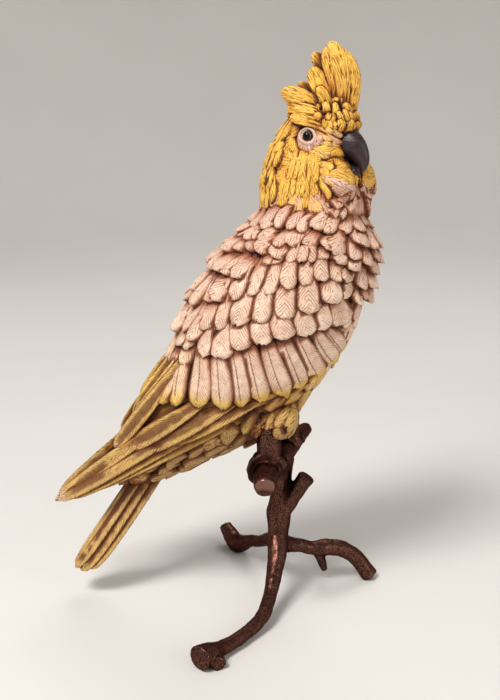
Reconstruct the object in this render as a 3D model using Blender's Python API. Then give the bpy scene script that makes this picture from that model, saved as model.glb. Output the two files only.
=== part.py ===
"""A cockatoo figurine perched on a branch with three root-like legs, in metres, +Z up.

The bird faces +X, with its head turned towards -Y. The origin is on the ground, under the middle of the
figurine's box. There are two castings: the painted bird, and the patinated branch with the gripping feet.
The feet end in round spigots that stand in sockets in the bird's belly. Sizes are in millimetres.
"""

import math

import bmesh
import bpy
from mathutils import Matrix, Vector
from mathutils.bvhtree import BVHTree

MM = 0.001

# Where the sizes below count from, seen from the origin
AXIS_AT = Vector((17.35, 7.8, 0.0))

# The bird's trunk from neck to tail root: back point (x, z), front point (x, z), half width
TORSO = [
    ((9, 222), (55, 222), 23),
    ((8, 214), (57, 212), 26),
    ((2, 206), (61, 203), 29),
    ((-8, 197), (62, 192), 32),
    ((-18, 186), (60, 180), 34),
    ((-26, 173), (56.5, 168), 35),
    ((-33, 159), (52, 155), 35),
    ((-38, 146), (46, 143), 34),
    ((-43, 132), (38.5, 131), 32),
    ((-49, 119), (30, 120), 28),
    ((-54, 108), (22, 107), 24),
    ((-59, 98), (10, 97), 19),
    ((-64, 89), (-8, 90), 15),
    ((-69, 80), (-29, 81), 11),
    ((-75, 70), (-48, 72), 8),
]
TORSO_RINGS = 30
RING_POINTS = 28

# A folded wing seen from the side, from shoulder to tip: lower edge (x, z), upper edge (x, z), least distance
# from the middle of the bird
WING = [
    ((42, 199), (20, 205), 0),
    ((50, 187), (0, 200), 0),
    ((53, 172), (-14, 190), 0),
    ((49, 155), (-22, 178), 0),
    ((42, 142), (-29, 165), 0),
    ((31, 132), (-35, 154), 26),
    ((12, 122), (-41, 142), 26),
    ((-10, 113), (-47, 130), 24),
    ((-30, 104), (-54, 118), 20),
    ((-54, 90), (-63, 103), 15),
    ((-76, 78), (-75, 86), 11),
]
WING_ABOVE_TORSO = 2.5
WING_THICK = 5.0

# Rows of wing feathers: root curve (x, z), tip curve (x, z), count, width, thickness
GREATER_ROOTS = [(37, 160), (19, 158), (-1, 154), (-20, 149), (-38, 150)]
GREATER_TIPS = [(46, 146), (29, 131), (5, 125), (-20, 120), (-46, 119)]
MEDIAN_ROOTS = [(41, 177), (20, 178), (0, 173), (-17, 166), (-32, 167)]
MEDIAN_TIPS = [(44, 163), (25, 158), (1, 153), (-20, 145), (-39, 150)]
UPPER_ROOTS = [(44, 190), (24, 190), (4, 186), (-14, 178), (-28, 176)]
UPPER_TIPS = [(46, 177), (25, 169), (-1, 164), (-22, 159), (-37, 160)]
LESSER_ROOTS = [(46, 198), (30, 201), (12, 199), (-4, 194), (-14, 190)]
LESSER_TIPS = [(49, 187), (29, 184), (4, 179), (-16, 173), (-26, 175)]
SHOULDER_ROOTS = [(42, 206), (30, 209), (17, 209)]
SHOULDER_TIPS = [(46, 196), (30, 195), (9, 192)]
WING_ROWS = [
    (GREATER_ROOTS, GREATER_TIPS, 11, 12.5, 2.3),
    (MEDIAN_ROOTS, MEDIAN_TIPS, 10, 14.0, 2.6),
    (UPPER_ROOTS, UPPER_TIPS, 10, 13.5, 2.5),
    (LESSER_ROOTS, LESSER_TIPS, 12, 10.5, 2.4),
    (SHOULDER_ROOTS, SHOULDER_TIPS, 9, 9.0, 2.2),
]

# Rows of belly feathers below the wing, hanging over the thighs, in the same terms
FLANK_ROOTS = [(29, 124), (18, 118), (4, 113), (-10, 108), (-24, 102)]
FLANK_TIPS = [(27, 112), (16, 106), (0, 101), (-17, 96), (-33, 90)]
THIGH_ROOTS = [(26, 114), (17, 108), (6, 104), (-8, 99), (-22, 94)]
THIGH_TIPS = [(23, 103), (14, 96), (2, 94), (-16, 89), (-33, 83)]
BELLY_ROWS = [
    (FLANK_ROOTS, FLANK_TIPS, 8, 12.0, 2.0),
    (THIGH_ROOTS, THIGH_TIPS, 8, 12.0, 2.0),
]

# The long wing blades: root (x, z), tip (x, z), distance of root and tip from the middle, width, thickness
WING_BLADES = [
    ((34, 135), (-91, 65), 27, 10, 10.0, 2.6),
    ((22, 138), (-99, 61), 27, 9, 11.0, 2.6),
    ((2, 133), (-105, 59), 28, 8, 10.0, 2.8),
    ((-20, 130), (-107, 58), 25, 6, 8.0, 3.0),
    ((6, 125), (-42, 97), 32, 20, 9.5, 2.6),
    ((-8, 123), (-57, 92), 31, 18, 11.0, 2.6),
    ((-24, 122), (-66, 92), 29, 16, 10.0, 2.6),
    ((-34, 142), (-72, 92), 22, 15, 8.5, 2.8),
    ((-33, 146), (-65, 101), 20, 14, 8.5, 2.8),
    ((-34, 149), (-60, 112), 12, 9, 8.5, 2.8),
]

# Rings of trunk feathers: place along the trunk, first and last turn from the breast in degrees, count,
# length, width, lift of the tips
TORSO_ROWS = [
    (0.03, 0, 180, 13, 13, 10, 3.5),
    (0.09, 0, 75, 7, 13, 11, 6.0),
    (0.09, 78, 180, 8, 15, 11, 5.0),
    (0.145, 0, 62, 6, 13, 11, 6.5),
    (0.15, 100, 180, 6, 16, 11, 5.5),
    (0.20, 0, 54, 5, 13, 11, 7.0),
    (0.21, 118, 180, 5, 18, 12, 5.5),
    (0.255, 0, 42, 4, 13, 10, 7.0),
    (0.29, 124, 180, 5, 19, 12, 5.5),
    (0.37, 132, 180, 4, 20, 12, 5.5),
    (0.45, 136, 180, 4, 20, 11, 3.5),
    (0.32, 0, 36, 4, 15, 11, 2.2),
    (0.39, 0, 36, 4, 16, 11, 2.2),
    (0.46, 0, 38, 4, 16, 11, 2.2),
    (0.53, 0, 44, 5, 16, 11, 2.2),
    (0.60, 0, 60, 6, 15, 11, 2.2),
    (0.66, 0, 75, 6, 14, 11, 2.2),
    (0.72, 0, 85, 5, 14, 10, 2.2),
    (0.79, 0, 90, 4, 15, 9, 2.2),
    (0.86, 0, 90, 3, 15, 9, 2.2),
]

# A feather whose tip is lifted further than this is hollow beneath for a share of the lift
UNDERCUT_FROM, UNDERCUT = 3.0, 0.75

# How far one side of a wing feather stands over the other, so that each lies on its neighbour
SHINGLE_TILT = 0.8

# The thighs, sunk in the belly over each foot: middle (x, side, z) and half axes
THIGH_AT = (13, 21, 103)
THIGH_SIZE = (12, 10, 15)

# The head, as level rings from the throat up: height, forward reach, backward reach, half width
HEAD_YAW = math.radians(-38)
HEAD_AT = Vector((36, -1, 0))
HEAD = [
    (209, 20, 24, 22),
    (216, 22, 27, 25),
    (223, 22, 27.5, 26),
    (231, 20, 26.5, 26.5),
    (239, 17.5, 24.5, 25),
    (247, 16, 22, 22.5),
    (255, 17, 18.5, 19),
    (262, 18, 14.5, 14.5),
    (267, 13, 9, 8),
]
# The cheeks stand out on either side of the bill: middle (forwards, aside, up) and half axes
CHEEK_AT = (13.5, 11, 231)
CHEEK_SIZE = (9.5, 8, 12)

# Rings of head feathers round the ear: reach of root and tip, first and last turn in degrees from forwards
# through down, count, width. The ear is at a turn from forwards and a height, and reaches go round the head
EAR_TURN, EAR_UP = 78.0, 242.0
HEAD_REACH = 26.0
FACE_ROWS = [
    (3, 13, -15, 215, 9, 7.5),
    (11, 22, -12, 205, 14, 8.0),
    (19, 30, 12, 190, 17, 9.0),
]

# Rings of feathers down the back of the head: height, count, length, width
CROWN_ROWS = [
    (262, 11, 12, 8.0),
    (254, 14, 12, 8.5),
    (245, 14, 12, 9.0),
    (235, 14, 12, 9.0),
    (226, 14, 11, 9.0),
]

# The bill, in the head's own frame: forwards, up, half height, half width
UPPER_BILL = [
    (9, 249.5, 10.0, 8.6),
    (15, 249.5, 9.8, 8.3),
    (20, 248.5, 8.2, 7.0),
    (24.5, 246, 6.0, 5.0),
    (26.8, 242, 3.8, 3.2),
    (26.2, 238, 1.5, 1.5),
]
LOWER_BILL = [(14, 237, 5.0, 5.0), (20, 236.5, 4.0, 4.4), (24, 237.5, 2.0, 3.0)]
EYE_AT = (3.8, 18.6, 255.3)
EYE_RADIUS = 3.0
EYE_RING_RADIUS = 5.6
EYE_RING_RISE = 0.45
EYE_CLEAR = 8.0

# The crest's feathers: root (x, y, z), middle, tip, width, thickness
CREST = [
    ((50, -8, 262), (50, -6, 284), (43, -4, 296), 7.5, 4.0),
    ((46, -7, 262), (45.5, -7, 283), (40, -5, 300.5), 8.0, 4.0),
    ((41, -6, 262), (40, -8, 281), (36.5, -6, 297), 7.0, 4.0),
    ((47, -2, 262), (46, 0, 283), (39, 0, 297), 8.0, 4.0),
    ((39, -3, 262), (37, -3, 281), (32, -3, 295), 6.0, 3.6),
    ((38, -9, 262), (34.5, -10, 276), (29.5, -9, 286.5), 8.5, 4.0),
    ((38, -12, 260), (34, -14, 270), (31, -14, 278), 6.0, 3.4),
    ((35, -5, 262), (29, -5, 273), (24.5, -5, 280), 6.0, 3.6),
    ((37, -9, 261), (27, -10, 271), (15.5, -8, 276), 8.0, 4.0),
    ((34, -10, 258), (26, -11, 266), (19, -9, 268), 7.0, 3.6),
    ((31, -11, 255), (25, -12, 262), (20, -10, 264), 6.0, 3.6),
    ((34, 0, 260), (26, 2, 269), (18, 1, 274), 7.0, 3.8),
    ((32, 0, 257), (25, 1, 264), (19, 1, 267), 7.0, 3.6),
]
BROW_TUFTS = [
    (52.5, -7, 266.5),
    (52.5, -10, 262.5),
    (48, -13, 265),
    (43.5, -13.5, 266),
    (39, -13, 265),
    (34.5, -12.5, 263.5),
    (50, -2, 265.5),
]
BROW_TUFT_RADIUS = 3.6

# The tail's feathers: root (x, y, z), tip, width, thickness, lean of the blade towards the side in degrees
TAIL = [
    ((-56, -5, 78), (-97, -6, 17), 10, 2.8, -50),
    ((-50, -5, 75), (-90, -8, 16), 9, 2.8, -62),
    ((-58, 0, 80), (-98, 0, 18), 10, 2.8, 0),
    ((-56, 5, 78), (-97, 6, 17), 10, 2.8, 50),
    ((-50, 5, 75), (-90, 8, 16), 9, 2.8, 62),
]

# The branch stand, as limbs: points (x, y, z) with a radius at each
PERCH = [
    ((7.5, -42, 79), 5.4),
    ((8, -31, 81.5), 6.6),
    ((12, -16, 83), 7.2),
    ((17, 2, 82.5), 7.0),
    ((23, 18, 83), 6.2),
    ((29, 32, 84), 4.8),
    ((33, 41, 84), 3.8),
]
TRUNK = [
    ((18, 2, 80), 6.8),
    ((17.5, 1, 66), 5.4),
    ((16.5, 0, 56), 5.8),
    ((16, 0, 49), 7.2),
    ((16, 0, 43), 6.9),
    ((15.7, 0, 37), 6.0),
    ((15.5, -1, 30), 6.2),
]
STUB = [((17, 0, 47), 5.0), ((21.5, -1, 54), 4.6), ((26, -2, 62), 4.4), ((31, -3, 71), 4.9)]
FRONT_LEG = [
    ((15.5, -1, 34), 6.0),
    ((15, -9.6, 26), 5.2),
    ((13.5, -16.5, 20), 4.6),
    ((11.3, -26, 13.5), 4.1),
    ((9, -35, 9.5), 3.9),
    ((6, -43, 7), 3.9),
    ((0, -52, 5.2), 3.7),
    ((-7.6, -62, 4.6), 3.6),
    ((-15, -70, 4.4), 3.9),
    ((-20.5, -77, 4.8), 5.2),
    ((-24.5, -81, 4.6), 5.2),
]
RIGHT_LEG = [
    ((16, 0, 31), 5.8),
    ((22, 4, 27), 4.8),
    ((28.8, 7.5, 24.7), 4.0),
    ((35, 9.5, 22.5), 4.1),
    ((40.5, 10.5, 22), 4.9),
    ((46.5, 12.5, 21.5), 5.1),
    ((52.5, 14, 20), 4.8),
    ((59, 16.5, 15.5), 4.8),
    ((64.8, 17.5, 9.5), 4.9),
    ((70.2, 17, 1.2), 5.2),
]
SPUR = [((39, 11, 20), 3.6), ((41.5, 12.5, 13), 2.9), ((43.3, 14, 6.5), 2.0)]
BACK_LEG = [
    ((15, 0, 32), 5.4),
    ((10.4, 13, 26), 3.9),
    ((6, 24, 20), 3.6),
    ((0, 36, 14.5), 3.8),
    ((-5, 48, 7.5), 5.4),
    ((-9, 55, 5), 5.6),
    ((-13, 62, 8.5), 4.8),
    ((-16, 66, 12), 3.8),
]
FRONT_KNOT = [((-18, -75, 4.5), 3.4), ((-15.8, -79.6, 2.8), 2.8)]
LIMBS = [PERCH, TRUNK, STUB, FRONT_LEG, FRONT_KNOT, RIGHT_LEG, SPUR, BACK_LEG]
FLOOR_CUT = 40.0

# The gripping feet: place along the perch (y), toe radius, reach of the toes round the perch, spread along it
FOOT_Y = (-22.0, 13.0)
TOE_RADIUS = 2.6
TOE_SPREAD = 3.4
TOE_TURNS = (-135, 75)
SPIGOT_RADIUS = 4.5
SPIGOT_TOP = 104.0
SPIGOT_CLEARANCE = 0.3
PERCH_CLEARANCE = 13.2

# Further out than any surface of the figurine, for what is looked for from outside
OUTSIDE = 200.0

BIRD_VOXEL, BIRD_SHARE = 1.2, 0.052
STAND_VOXEL, STAND_SHARE = 1.2, 0.10


def smooth(points, t):
    """The point at t, from 0 to 1, on a smooth curve through a list of equal-length number lists."""
    span = len(points) - 1
    i = min(int(t * span), span - 1)
    f = t * span - i
    a, b = points[max(i - 1, 0)], points[i]
    c, d = points[i + 1], points[min(i + 2, span)]
    return [
        0.5 * (2 * q + (r - p) * f + (2 * p - 5 * q + 4 * r - s) * f * f + (3 * q - p - 3 * r + s) * f**3)
        for p, q, r, s in zip(a, b, c, d)
    ]


def flat(items):
    """Each item's nested numbers as one list."""
    out = []
    for item in items:
        out += flat(item) if isinstance(item, (tuple, list, Vector)) else [item]
    return out


def loft(mesh, rings, points=RING_POINTS):
    """A closed skin over elliptical rings, each (middle, first half axis, second half axis)."""
    loops = []
    for middle, u, v in rings:
        frame = Matrix((u, v, u.cross(v).normalized())).transposed().to_4x4()
        frame.translation = middle
        ends = middle is rings[0][0] or middle is rings[-1][0]
        made = bmesh.ops.create_circle(mesh, cap_ends=ends, segments=round(points), radius=1.0, matrix=frame)
        edges = {e for vert in made["verts"] for e in vert.link_edges}
        loops.append([e for e in edges if all(vert in made["verts"] for vert in e.verts)])
    for first, second in zip(loops, loops[1:]):
        bmesh.ops.bridge_loops(mesh, edges=first + second)


def torso_ring(t):
    """Middle and half axes of the trunk's ring at t: towards the breast, and across the bird."""
    bx, bz, fx, fz, half = smooth([flat(row) for row in TORSO], t)
    back, front = Vector((bx, 0, bz)), Vector((fx, 0, fz))
    return (back + front) / 2, (front - back) / 2, Vector((0, half, 0))


def torso_point(t, turn):
    middle, u, v = torso_ring(t)
    return middle + u * math.cos(turn) + v * math.sin(turn)


def head_point(forward, left, up):
    turned = Matrix.Rotation(HEAD_YAW, 3, "Z") @ Vector((forward, left, 0))
    return HEAD_AT + turned + Vector((0, 0, up))


def head_ring(row):
    up, front, back, half = row
    turn = Matrix.Rotation(HEAD_YAW, 3, "Z")
    middle = head_point((front - back) / 2, 0, up)
    return middle, turn @ Vector(((front + back) / 2, 0, 0)), turn @ Vector((0, half, 0))


def surface_of(mesh):
    bmesh.ops.recalc_face_normals(mesh, faces=mesh.faces)
    return BVHTree.FromBMesh(mesh)


def add_torso(mesh):
    loft(mesh, [torso_ring(i / (TORSO_RINGS - 1)) for i in range(TORSO_RINGS)])


def add_head(mesh):
    rows = 18
    loft(mesh, [head_ring(smooth(HEAD, i / (rows - 1))) for i in range(rows)])


def add_wing(mesh, torso, side):
    """A closed plate that lies on the trunk and runs on towards the wing's tip. Side is -1 for the right."""
    made = bmesh.ops.create_grid(mesh, x_segments=22, y_segments=10, size=0.5)
    faces = {f for vert in made["verts"] for f in vert.link_faces}
    edges = [flat(row) for row in WING]
    for vert in made["verts"]:
        lx, lz, ux, uz, least = smooth(edges, vert.co.x + 0.5)
        q = vert.co.y + 0.5
        x, z = lx + (ux - lx) * q, lz + (uz - lz) * q
        hit = torso.ray_cast(Vector((x, side * OUTSIDE, z)), Vector((0, -side, 0)))[0]
        out = max(abs(hit.y) if hit else 0.0, least * math.sqrt(max(0.0, 1 - (1.6 * q - 0.7) ** 2)))
        vert.co = Vector((x, side * (out + WING_ABOVE_TORSO), z))
    deep = bmesh.ops.extrude_face_region(mesh, geom=list(faces), use_keep_orig=True)
    moved = [g for g in deep["geom"] if isinstance(g, bmesh.types.BMVert)]
    bmesh.ops.translate(mesh, verts=moved, vec=Vector((0, -side * WING_THICK, 0)))


def half_outline(a):
    """A feather's half width at a, from its root to its round tip, as a share of the whole."""
    tip = 0.72
    if a < tip:
        return 0.62 + 0.38 * math.sin(math.pi / 2 * a / tip)
    return max(0.34, (1 - ((a - tip) / (1 - tip)) ** 2.4) ** (1 / 2.4))


def add_feather(mesh, snap, root, tip, width, thick, lift, tilt=0.0, sink=1.5, across=4, along=6):
    """A plump feather laid on the surface that snap finds. Its root is sunk in it, and a high tip stands clear."""
    middle, normal = snap((root + tip) / 2)
    side = (tip - root).cross(normal).normalized()
    made = bmesh.ops.create_grid(mesh, x_segments=across, y_segments=along, size=0.5)
    faces = list({f for vert in made["verts"] for f in vert.link_faces})
    deep = bmesh.ops.extrude_face_region(mesh, geom=faces, use_keep_orig=True)
    lower = [g for g in deep["geom"] if isinstance(g, bmesh.types.BMVert)]
    for verts, top in ((made["verts"], True), (lower, False)):
        for vert in verts:
            a, b = 1 - (0.5 - vert.co.y) ** 1.35, 2 * vert.co.x
            place, out = snap(root + (tip - root) * a + side * (b * half_outline(a) * width / 2))
            raised = lift * a**1.5
            dome = thick * math.sqrt(1 - 0.4 * b**2 - 0.48 * b**6) * (1 - 0.3 * a**5)
            under = raised * UNDERCUT - sink if raised > UNDERCUT_FROM else -sink
            vert.co = place + out * (raised + dome + tilt * b if top else under)


def nearest_on(tree):
    def snap(point):
        place, out, _, _ = tree.find_nearest(point)
        return place, out

    return snap


def sideways_on(tree, side):
    """Finds the surface straight in from the side, as the feather is seen from there."""

    def snap(point):
        start = Vector((point.x, side * OUTSIDE, point.z))
        place, out, _, _ = tree.ray_cast(start, Vector((0, -side, 0)))
        if place is None:
            place, out, _, _ = tree.find_nearest(point)
        return place, (out if out.y * side > 0 else -out)

    return snap


def around_head(tree, turn, up):
    """The point on the head at a turn from forwards and a height, or past its ends the nearest one."""
    way = head_point(math.cos(turn), math.sin(turn), up) - head_point(0, 0, up)
    start = head_point(0, 0, up) + way * OUTSIDE
    place = tree.ray_cast(start, -way)[0]
    return tree.find_nearest(start)[0] if place is None else place


def head_spot(tree, side, turn, reach):
    """The point on one side of the head at a reach from the ear."""
    forward, down = reach * math.cos(turn), reach * math.sin(turn)
    return around_head(tree, side * (math.radians(EAR_TURN) - forward / HEAD_REACH), EAR_UP - down)


def blade_rings(points, width, thick, face):
    """Rings of a long flat feather along a smooth line, its flat side towards face."""
    rings, count = [], 9
    for i in range(count):
        t = i / (count - 1)
        here = Vector(smooth(points, t))
        ahead = Vector(smooth(points, min(t + 0.02, 1))) - Vector(smooth(points, max(t - 0.02, 0)))
        side = ahead.cross(face).normalized()
        up = side.cross(ahead).normalized()
        share = 0.55 + 0.45 * math.sin(math.pi * min(t / 0.7, 1) / 2)
        if t > 0.7:
            share = math.sqrt(max(0.12, 1 - ((t - 0.7) / 0.3) ** 2))
        rings.append((here, side * width / 2 * share, up * thick / 2 * (0.4 + 0.6 * share)))
    return rings


def add_wing_blades(mesh, side):
    for (rx, rz), (tx, tz), root_out, tip_out, width, thick in WING_BLADES:
        ends = [Vector((rx, side * root_out, rz)), Vector((tx, side * tip_out, tz))]
        middle = (ends[0] + ends[1]) / 2 + Vector((0, side * 2.5, 0))
        face = Vector((-0.15, side, 0.35))
        loft(mesh, blade_rings([ends[0], middle, ends[1]], width, thick, face), points=10)


def add_tail(mesh):
    for root, tip, width, thick, lean in TAIL:
        root, tip = Vector(root), Vector(tip)
        run = (tip - root).normalized()
        up = Vector((0, 1, 0)).cross(run).normalized()
        face = Matrix.Rotation(math.radians(lean), 3, run) @ (up if up.z > 0 else -up)
        loft(mesh, blade_rings([root, (root + tip) / 2, tip], width, thick, face), points=10)


def add_crest(mesh):
    for root, middle, tip, width, thick in CREST:
        face = Vector((0.25, -1, 0.1))
        loft(mesh, blade_rings([Vector(root), Vector(middle), Vector(tip)], width, thick, face), points=10)
    for place in BROW_TUFTS:
        bmesh.ops.create_icosphere(
            mesh, subdivisions=2, radius=BROW_TUFT_RADIUS, matrix=Matrix.Translation(Vector(place))
        )


def add_cheeks(mesh):
    forward, aside, up = CHEEK_AT
    turn = Matrix.Rotation(HEAD_YAW, 4, "Z")
    for side in (-1, 1):
        middle = Matrix.Translation(head_point(forward, side * aside, up))
        place = middle @ turn @ Matrix.Diagonal((*CHEEK_SIZE, 1))
        bmesh.ops.create_icosphere(mesh, subdivisions=3, radius=1, matrix=place)


def add_thighs(mesh):
    x, out, z = THIGH_AT
    for side in (-1, 1):
        place = Matrix.Translation((x, side * out, z)) @ Matrix.Diagonal((*THIGH_SIZE, 1))
        bmesh.ops.create_icosphere(mesh, subdivisions=3, radius=1, matrix=place)


def bill_rings(rows):
    turn = Matrix.Rotation(HEAD_YAW, 3, "Z")
    rings, count = [], 9
    for i in range(count):
        t = i / (count - 1)
        forward, up, high, wide = smooth(rows, t)
        ahead = [p - q for p, q in zip(smooth(rows, min(t + 0.05, 1)), smooth(rows, max(t - 0.05, 0)))]
        run = Vector((ahead[0], 0, ahead[1])).normalized()
        rise = turn @ Vector((-run.z, 0, run.x))
        rings.append((head_point(forward, 0, up), rise * high, turn @ Vector((0, wide, 0))))
    return rings


def add_upper_bill(mesh):
    loft(mesh, bill_rings(UPPER_BILL), points=14)


def add_lower_bill(mesh):
    loft(mesh, bill_rings(LOWER_BILL), points=14)


def add_eyeballs(mesh):
    forward, aside, up = EYE_AT
    for side in (-1, 1):
        place = Matrix.Translation(head_point(forward, side * aside, up))
        bmesh.ops.create_icosphere(mesh, subdivisions=2, radius=EYE_RADIUS, matrix=place)


def add_eye_rings(mesh):
    """The low domes of bare skin round the eyes."""
    forward, aside, up = EYE_AT
    upright = Matrix.Rotation(math.pi / 2, 4, "Y")
    for side in (-1, 1):
        place = Matrix.Translation(head_point(forward, side * (aside - 1.2), up))
        facing = Matrix.Rotation(HEAD_YAW + side * math.radians(78), 4, "Z") @ upright
        low = Matrix.Diagonal((1, 1, EYE_RING_RISE, 1))
        bmesh.ops.create_uvsphere(
            mesh, u_segments=16, v_segments=8, radius=EYE_RING_RADIUS, matrix=place @ facing @ low
        )


def add_trunk_feathers(mesh, torso):
    on_torso = nearest_on(torso)
    for t, first, last, count, length, width, lift in TORSO_ROWS:
        for side in (-1, 1):
            for i in range(count):
                turn = math.radians(first + (last - first) * (i + 0.5) / count) * side
                root = torso_point(t, turn)
                run = (torso_point(t + 0.04, turn) - root).normalized()
                add_feather(mesh, on_torso, root, root + run * length, width, 2.6, lift)


def add_side_feathers(mesh, torso, wings):
    """The rows on the wings, and those on the belly below them."""
    for side, tree in wings:
        on_wing = sideways_on(tree, side)
        on_belly = sideways_on(torso, side)
        for snap, rows in ((on_wing, WING_ROWS), (on_belly, BELLY_ROWS)):
            for roots, tips, count, width, thick in rows:
                for i in range(count):
                    rx, rz = smooth(roots, i / (count - 1))
                    tx, tz = smooth(tips, i / (count - 1))
                    ends = [snap(Vector((x, 0, z)))[0] for x, z in ((rx, rz), (tx, tz))]
                    add_feather(mesh, snap, *ends, width, thick, 2.2, SHINGLE_TILT * side)


def add_head_feathers(mesh, head):
    on_head = nearest_on(head)
    eyes = [head_point(EYE_AT[0], side * EYE_AT[1], EYE_AT[2]) for side in (-1, 1)]
    for near, far, first, last, count, width in FACE_ROWS:
        for side in (-1, 1):
            for i in range(count):
                turn = math.radians(first + (last - first) * (i + 0.5) / count)
                root, tip = (head_spot(head, side, turn, reach) for reach in (near, far))
                if min((place - eye).length for place in (root, tip) for eye in eyes) > EYE_CLEAR:
                    add_feather(mesh, on_head, root, tip, width, 2.4, 2.0)
    for up, count, length, width in CROWN_ROWS:
        for i in range(count):
            turn = math.radians(110 + 140 * (i + 0.5) / count)
            ends = [around_head(head, turn, z) for z in (up, up - length)]
            add_feather(mesh, on_head, *ends, width, 2.6, 3.0)


def material(name, colour, roughness, metallic):
    made = bpy.data.materials.new(name)
    made.use_nodes = True
    shader = made.node_tree.nodes["Principled BSDF"]
    shader.inputs["Base Color"].default_value = (*colour, 1)
    shader.inputs["Roughness"].default_value = roughness
    shader.inputs["Metallic"].default_value = metallic
    return made


def object_of(mesh, name, finish=None):
    """An object in metres, standing at the figurine's own place, from a mesh in millimetres."""
    bmesh.ops.recalc_face_normals(mesh, faces=mesh.faces)
    bmesh.ops.transform(mesh, matrix=Matrix.Scale(MM, 4) @ Matrix.Translation(AXIS_AT), verts=mesh.verts)
    data = bpy.data.meshes.new(name)
    mesh.to_mesh(data)
    mesh.free()
    data.shade_smooth()
    if finish:
        data.materials.append(finish)
    made = bpy.data.objects.new(name, data)
    bpy.context.scene.collection.objects.link(made)
    return made


def cutter(mesh, name):
    made = object_of(mesh, name)
    made.hide_render = True
    made.display_type = "WIRE"
    return made


def fuse(obj, voxel, share):
    """Casts the overlapping forms of one object into a single skin with few faces."""
    remesh = obj.modifiers.new("cast", "REMESH")
    remesh.mode = "VOXEL"
    remesh.voxel_size = voxel * MM
    fewer = obj.modifiers.new("fewer_faces", "DECIMATE")
    fewer.ratio = share


def join(obj, other, operation):
    made = obj.modifiers.new(other.name, "BOOLEAN")
    made.operation = operation
    made.object = other
    made.solver = "EXACT"


def rod(mesh, start, end, radius, points=20):
    run = end - start
    side = run.orthogonal().normalized()
    up = run.cross(side).normalized()
    loft(mesh, [(start, side * radius, up * radius), (end, side * radius, up * radius)], points)


def spigot(mesh, place, grow):
    """The round end of a leg, or with grow the socket for it."""
    top = Vector((place.x, place.y, SPIGOT_TOP + grow))
    rod(mesh, place, top, SPIGOT_RADIUS + grow)


def perch_at(y):
    """The perch's middle and run where it crosses y."""
    points = [flat(row) for row in PERCH]
    steps = 200
    best = min(range(steps + 1), key=lambda i: abs(smooth(points, i / steps)[1] - y))
    here = Vector(smooth(points, best / steps)[:3])
    run = Vector(smooth(points, min(best / steps + 0.02, 1))[:3]) - here
    return here, run.normalized(), smooth(points, best / steps)[3]


def add_limb(mesh, limb, rings=14, points=16):
    rows = [flat(row) for row in limb]
    made = []
    for i in range(rings):
        t = i / (rings - 1)
        x, y, z, radius = smooth(rows, t)
        ahead = Vector(smooth(rows, min(t + 0.03, 1))[:3]) - Vector(smooth(rows, max(t - 0.03, 0))[:3])
        side = ahead.cross(Vector((0.3, 0.2, 0.9))).normalized()
        made.append((Vector((x, y, z)), side * radius, ahead.cross(side).normalized() * radius))
    loft(mesh, made, points)


def add_foot(mesh, y):
    """Toes bent round the perch, two to each side, and the ankle they grow from."""
    middle, run, radius = perch_at(y)
    side = Vector((1, 0, 0))
    reach = radius + TOE_RADIUS * 0.7
    for along in (-TOE_SPREAD, TOE_SPREAD):
        for way, last in ((1, TOE_TURNS[1]), (-1, -TOE_TURNS[0])):
            rings = []
            for i in range(8):
                turn = math.radians(-8 + (last + 20) * i / 7)
                out = side * math.sin(turn) * way + Vector((0, 0, 1)) * math.cos(turn)
                place = middle + run * along + out * reach
                thick = TOE_RADIUS * (1.15 - 0.45 * i / 7)
                rings.append((place, out * thick, run * thick))
            loft(mesh, rings, points=10)
    rod(mesh, middle, Vector((middle.x, middle.y, SPIGOT_TOP - 10)), SPIGOT_RADIUS + 0.8)


def build_bird():
    torso, head = bmesh.new(), bmesh.new()
    add_torso(torso)
    add_thighs(torso)
    add_head(head)
    add_cheeks(head)
    on_torso, on_head = surface_of(torso), surface_of(head)
    wings = []
    for side in (-1, 1):
        plate = bmesh.new()
        add_wing(plate, on_torso, side)
        wings.append((side, surface_of(plate)))
        plate.free()
    bird = bmesh.new()
    add_torso(bird)
    add_thighs(bird)
    add_head(bird)
    add_cheeks(bird)
    for side, _ in wings:
        add_wing(bird, on_torso, side)
        add_wing_blades(bird, side)
    add_tail(bird)
    add_crest(bird)
    add_trunk_feathers(bird, on_torso)
    add_side_feathers(bird, on_torso, wings)
    add_head_feathers(bird, on_head)
    made = object_of(bird, "cockatoo", material("cold_paint", (0.78, 0.60, 0.42), 0.55, 0.0))
    fuse(made, BIRD_VOXEL, BIRD_SHARE)
    for fill in (add_upper_bill, add_lower_bill, add_eye_rings, add_eyeballs):
        piece = bmesh.new()
        fill(piece)
        join(made, cutter(piece, fill.__name__[4:]), "UNION")
    room = bmesh.new()
    add_limb(room, [(place, PERCH_CLEARANCE) for place, _ in PERCH], points=32)
    join(made, cutter(room, "perch_room"), "DIFFERENCE")
    sockets = bmesh.new()
    for y in FOOT_Y:
        spigot(sockets, perch_at(y)[0], SPIGOT_CLEARANCE)
    join(made, cutter(sockets, "spigot_sockets"), "DIFFERENCE")
    torso.free()
    head.free()


def build_stand():
    stand = bmesh.new()
    for limb in LIMBS:
        add_limb(stand, limb)
    for y in FOOT_Y:
        add_foot(stand, y)
    made = object_of(stand, "branch_stand", material("brown_patina", (0.13, 0.05, 0.035), 0.35, 0.8))
    fuse(made, STAND_VOXEL, STAND_SHARE)
    for y in FOOT_Y:
        pin = bmesh.new()
        spigot(pin, perch_at(y)[0], 0.0)
        join(made, cutter(pin, f"spigot_{'right' if y < 0 else 'left'}"), "UNION")
    ground = bmesh.new()
    below = Matrix.Translation((0, 0, -FLOOR_CUT / 2)) @ Matrix.Diagonal((400, 400, FLOOR_CUT, 1))
    bmesh.ops.create_cube(ground, size=1, matrix=below)
    join(made, cutter(ground, "ground"), "DIFFERENCE")


def main():
    for obj in list(bpy.data.objects):
        bpy.data.objects.remove(obj)
    build_bird()
    build_stand()


main()
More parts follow.
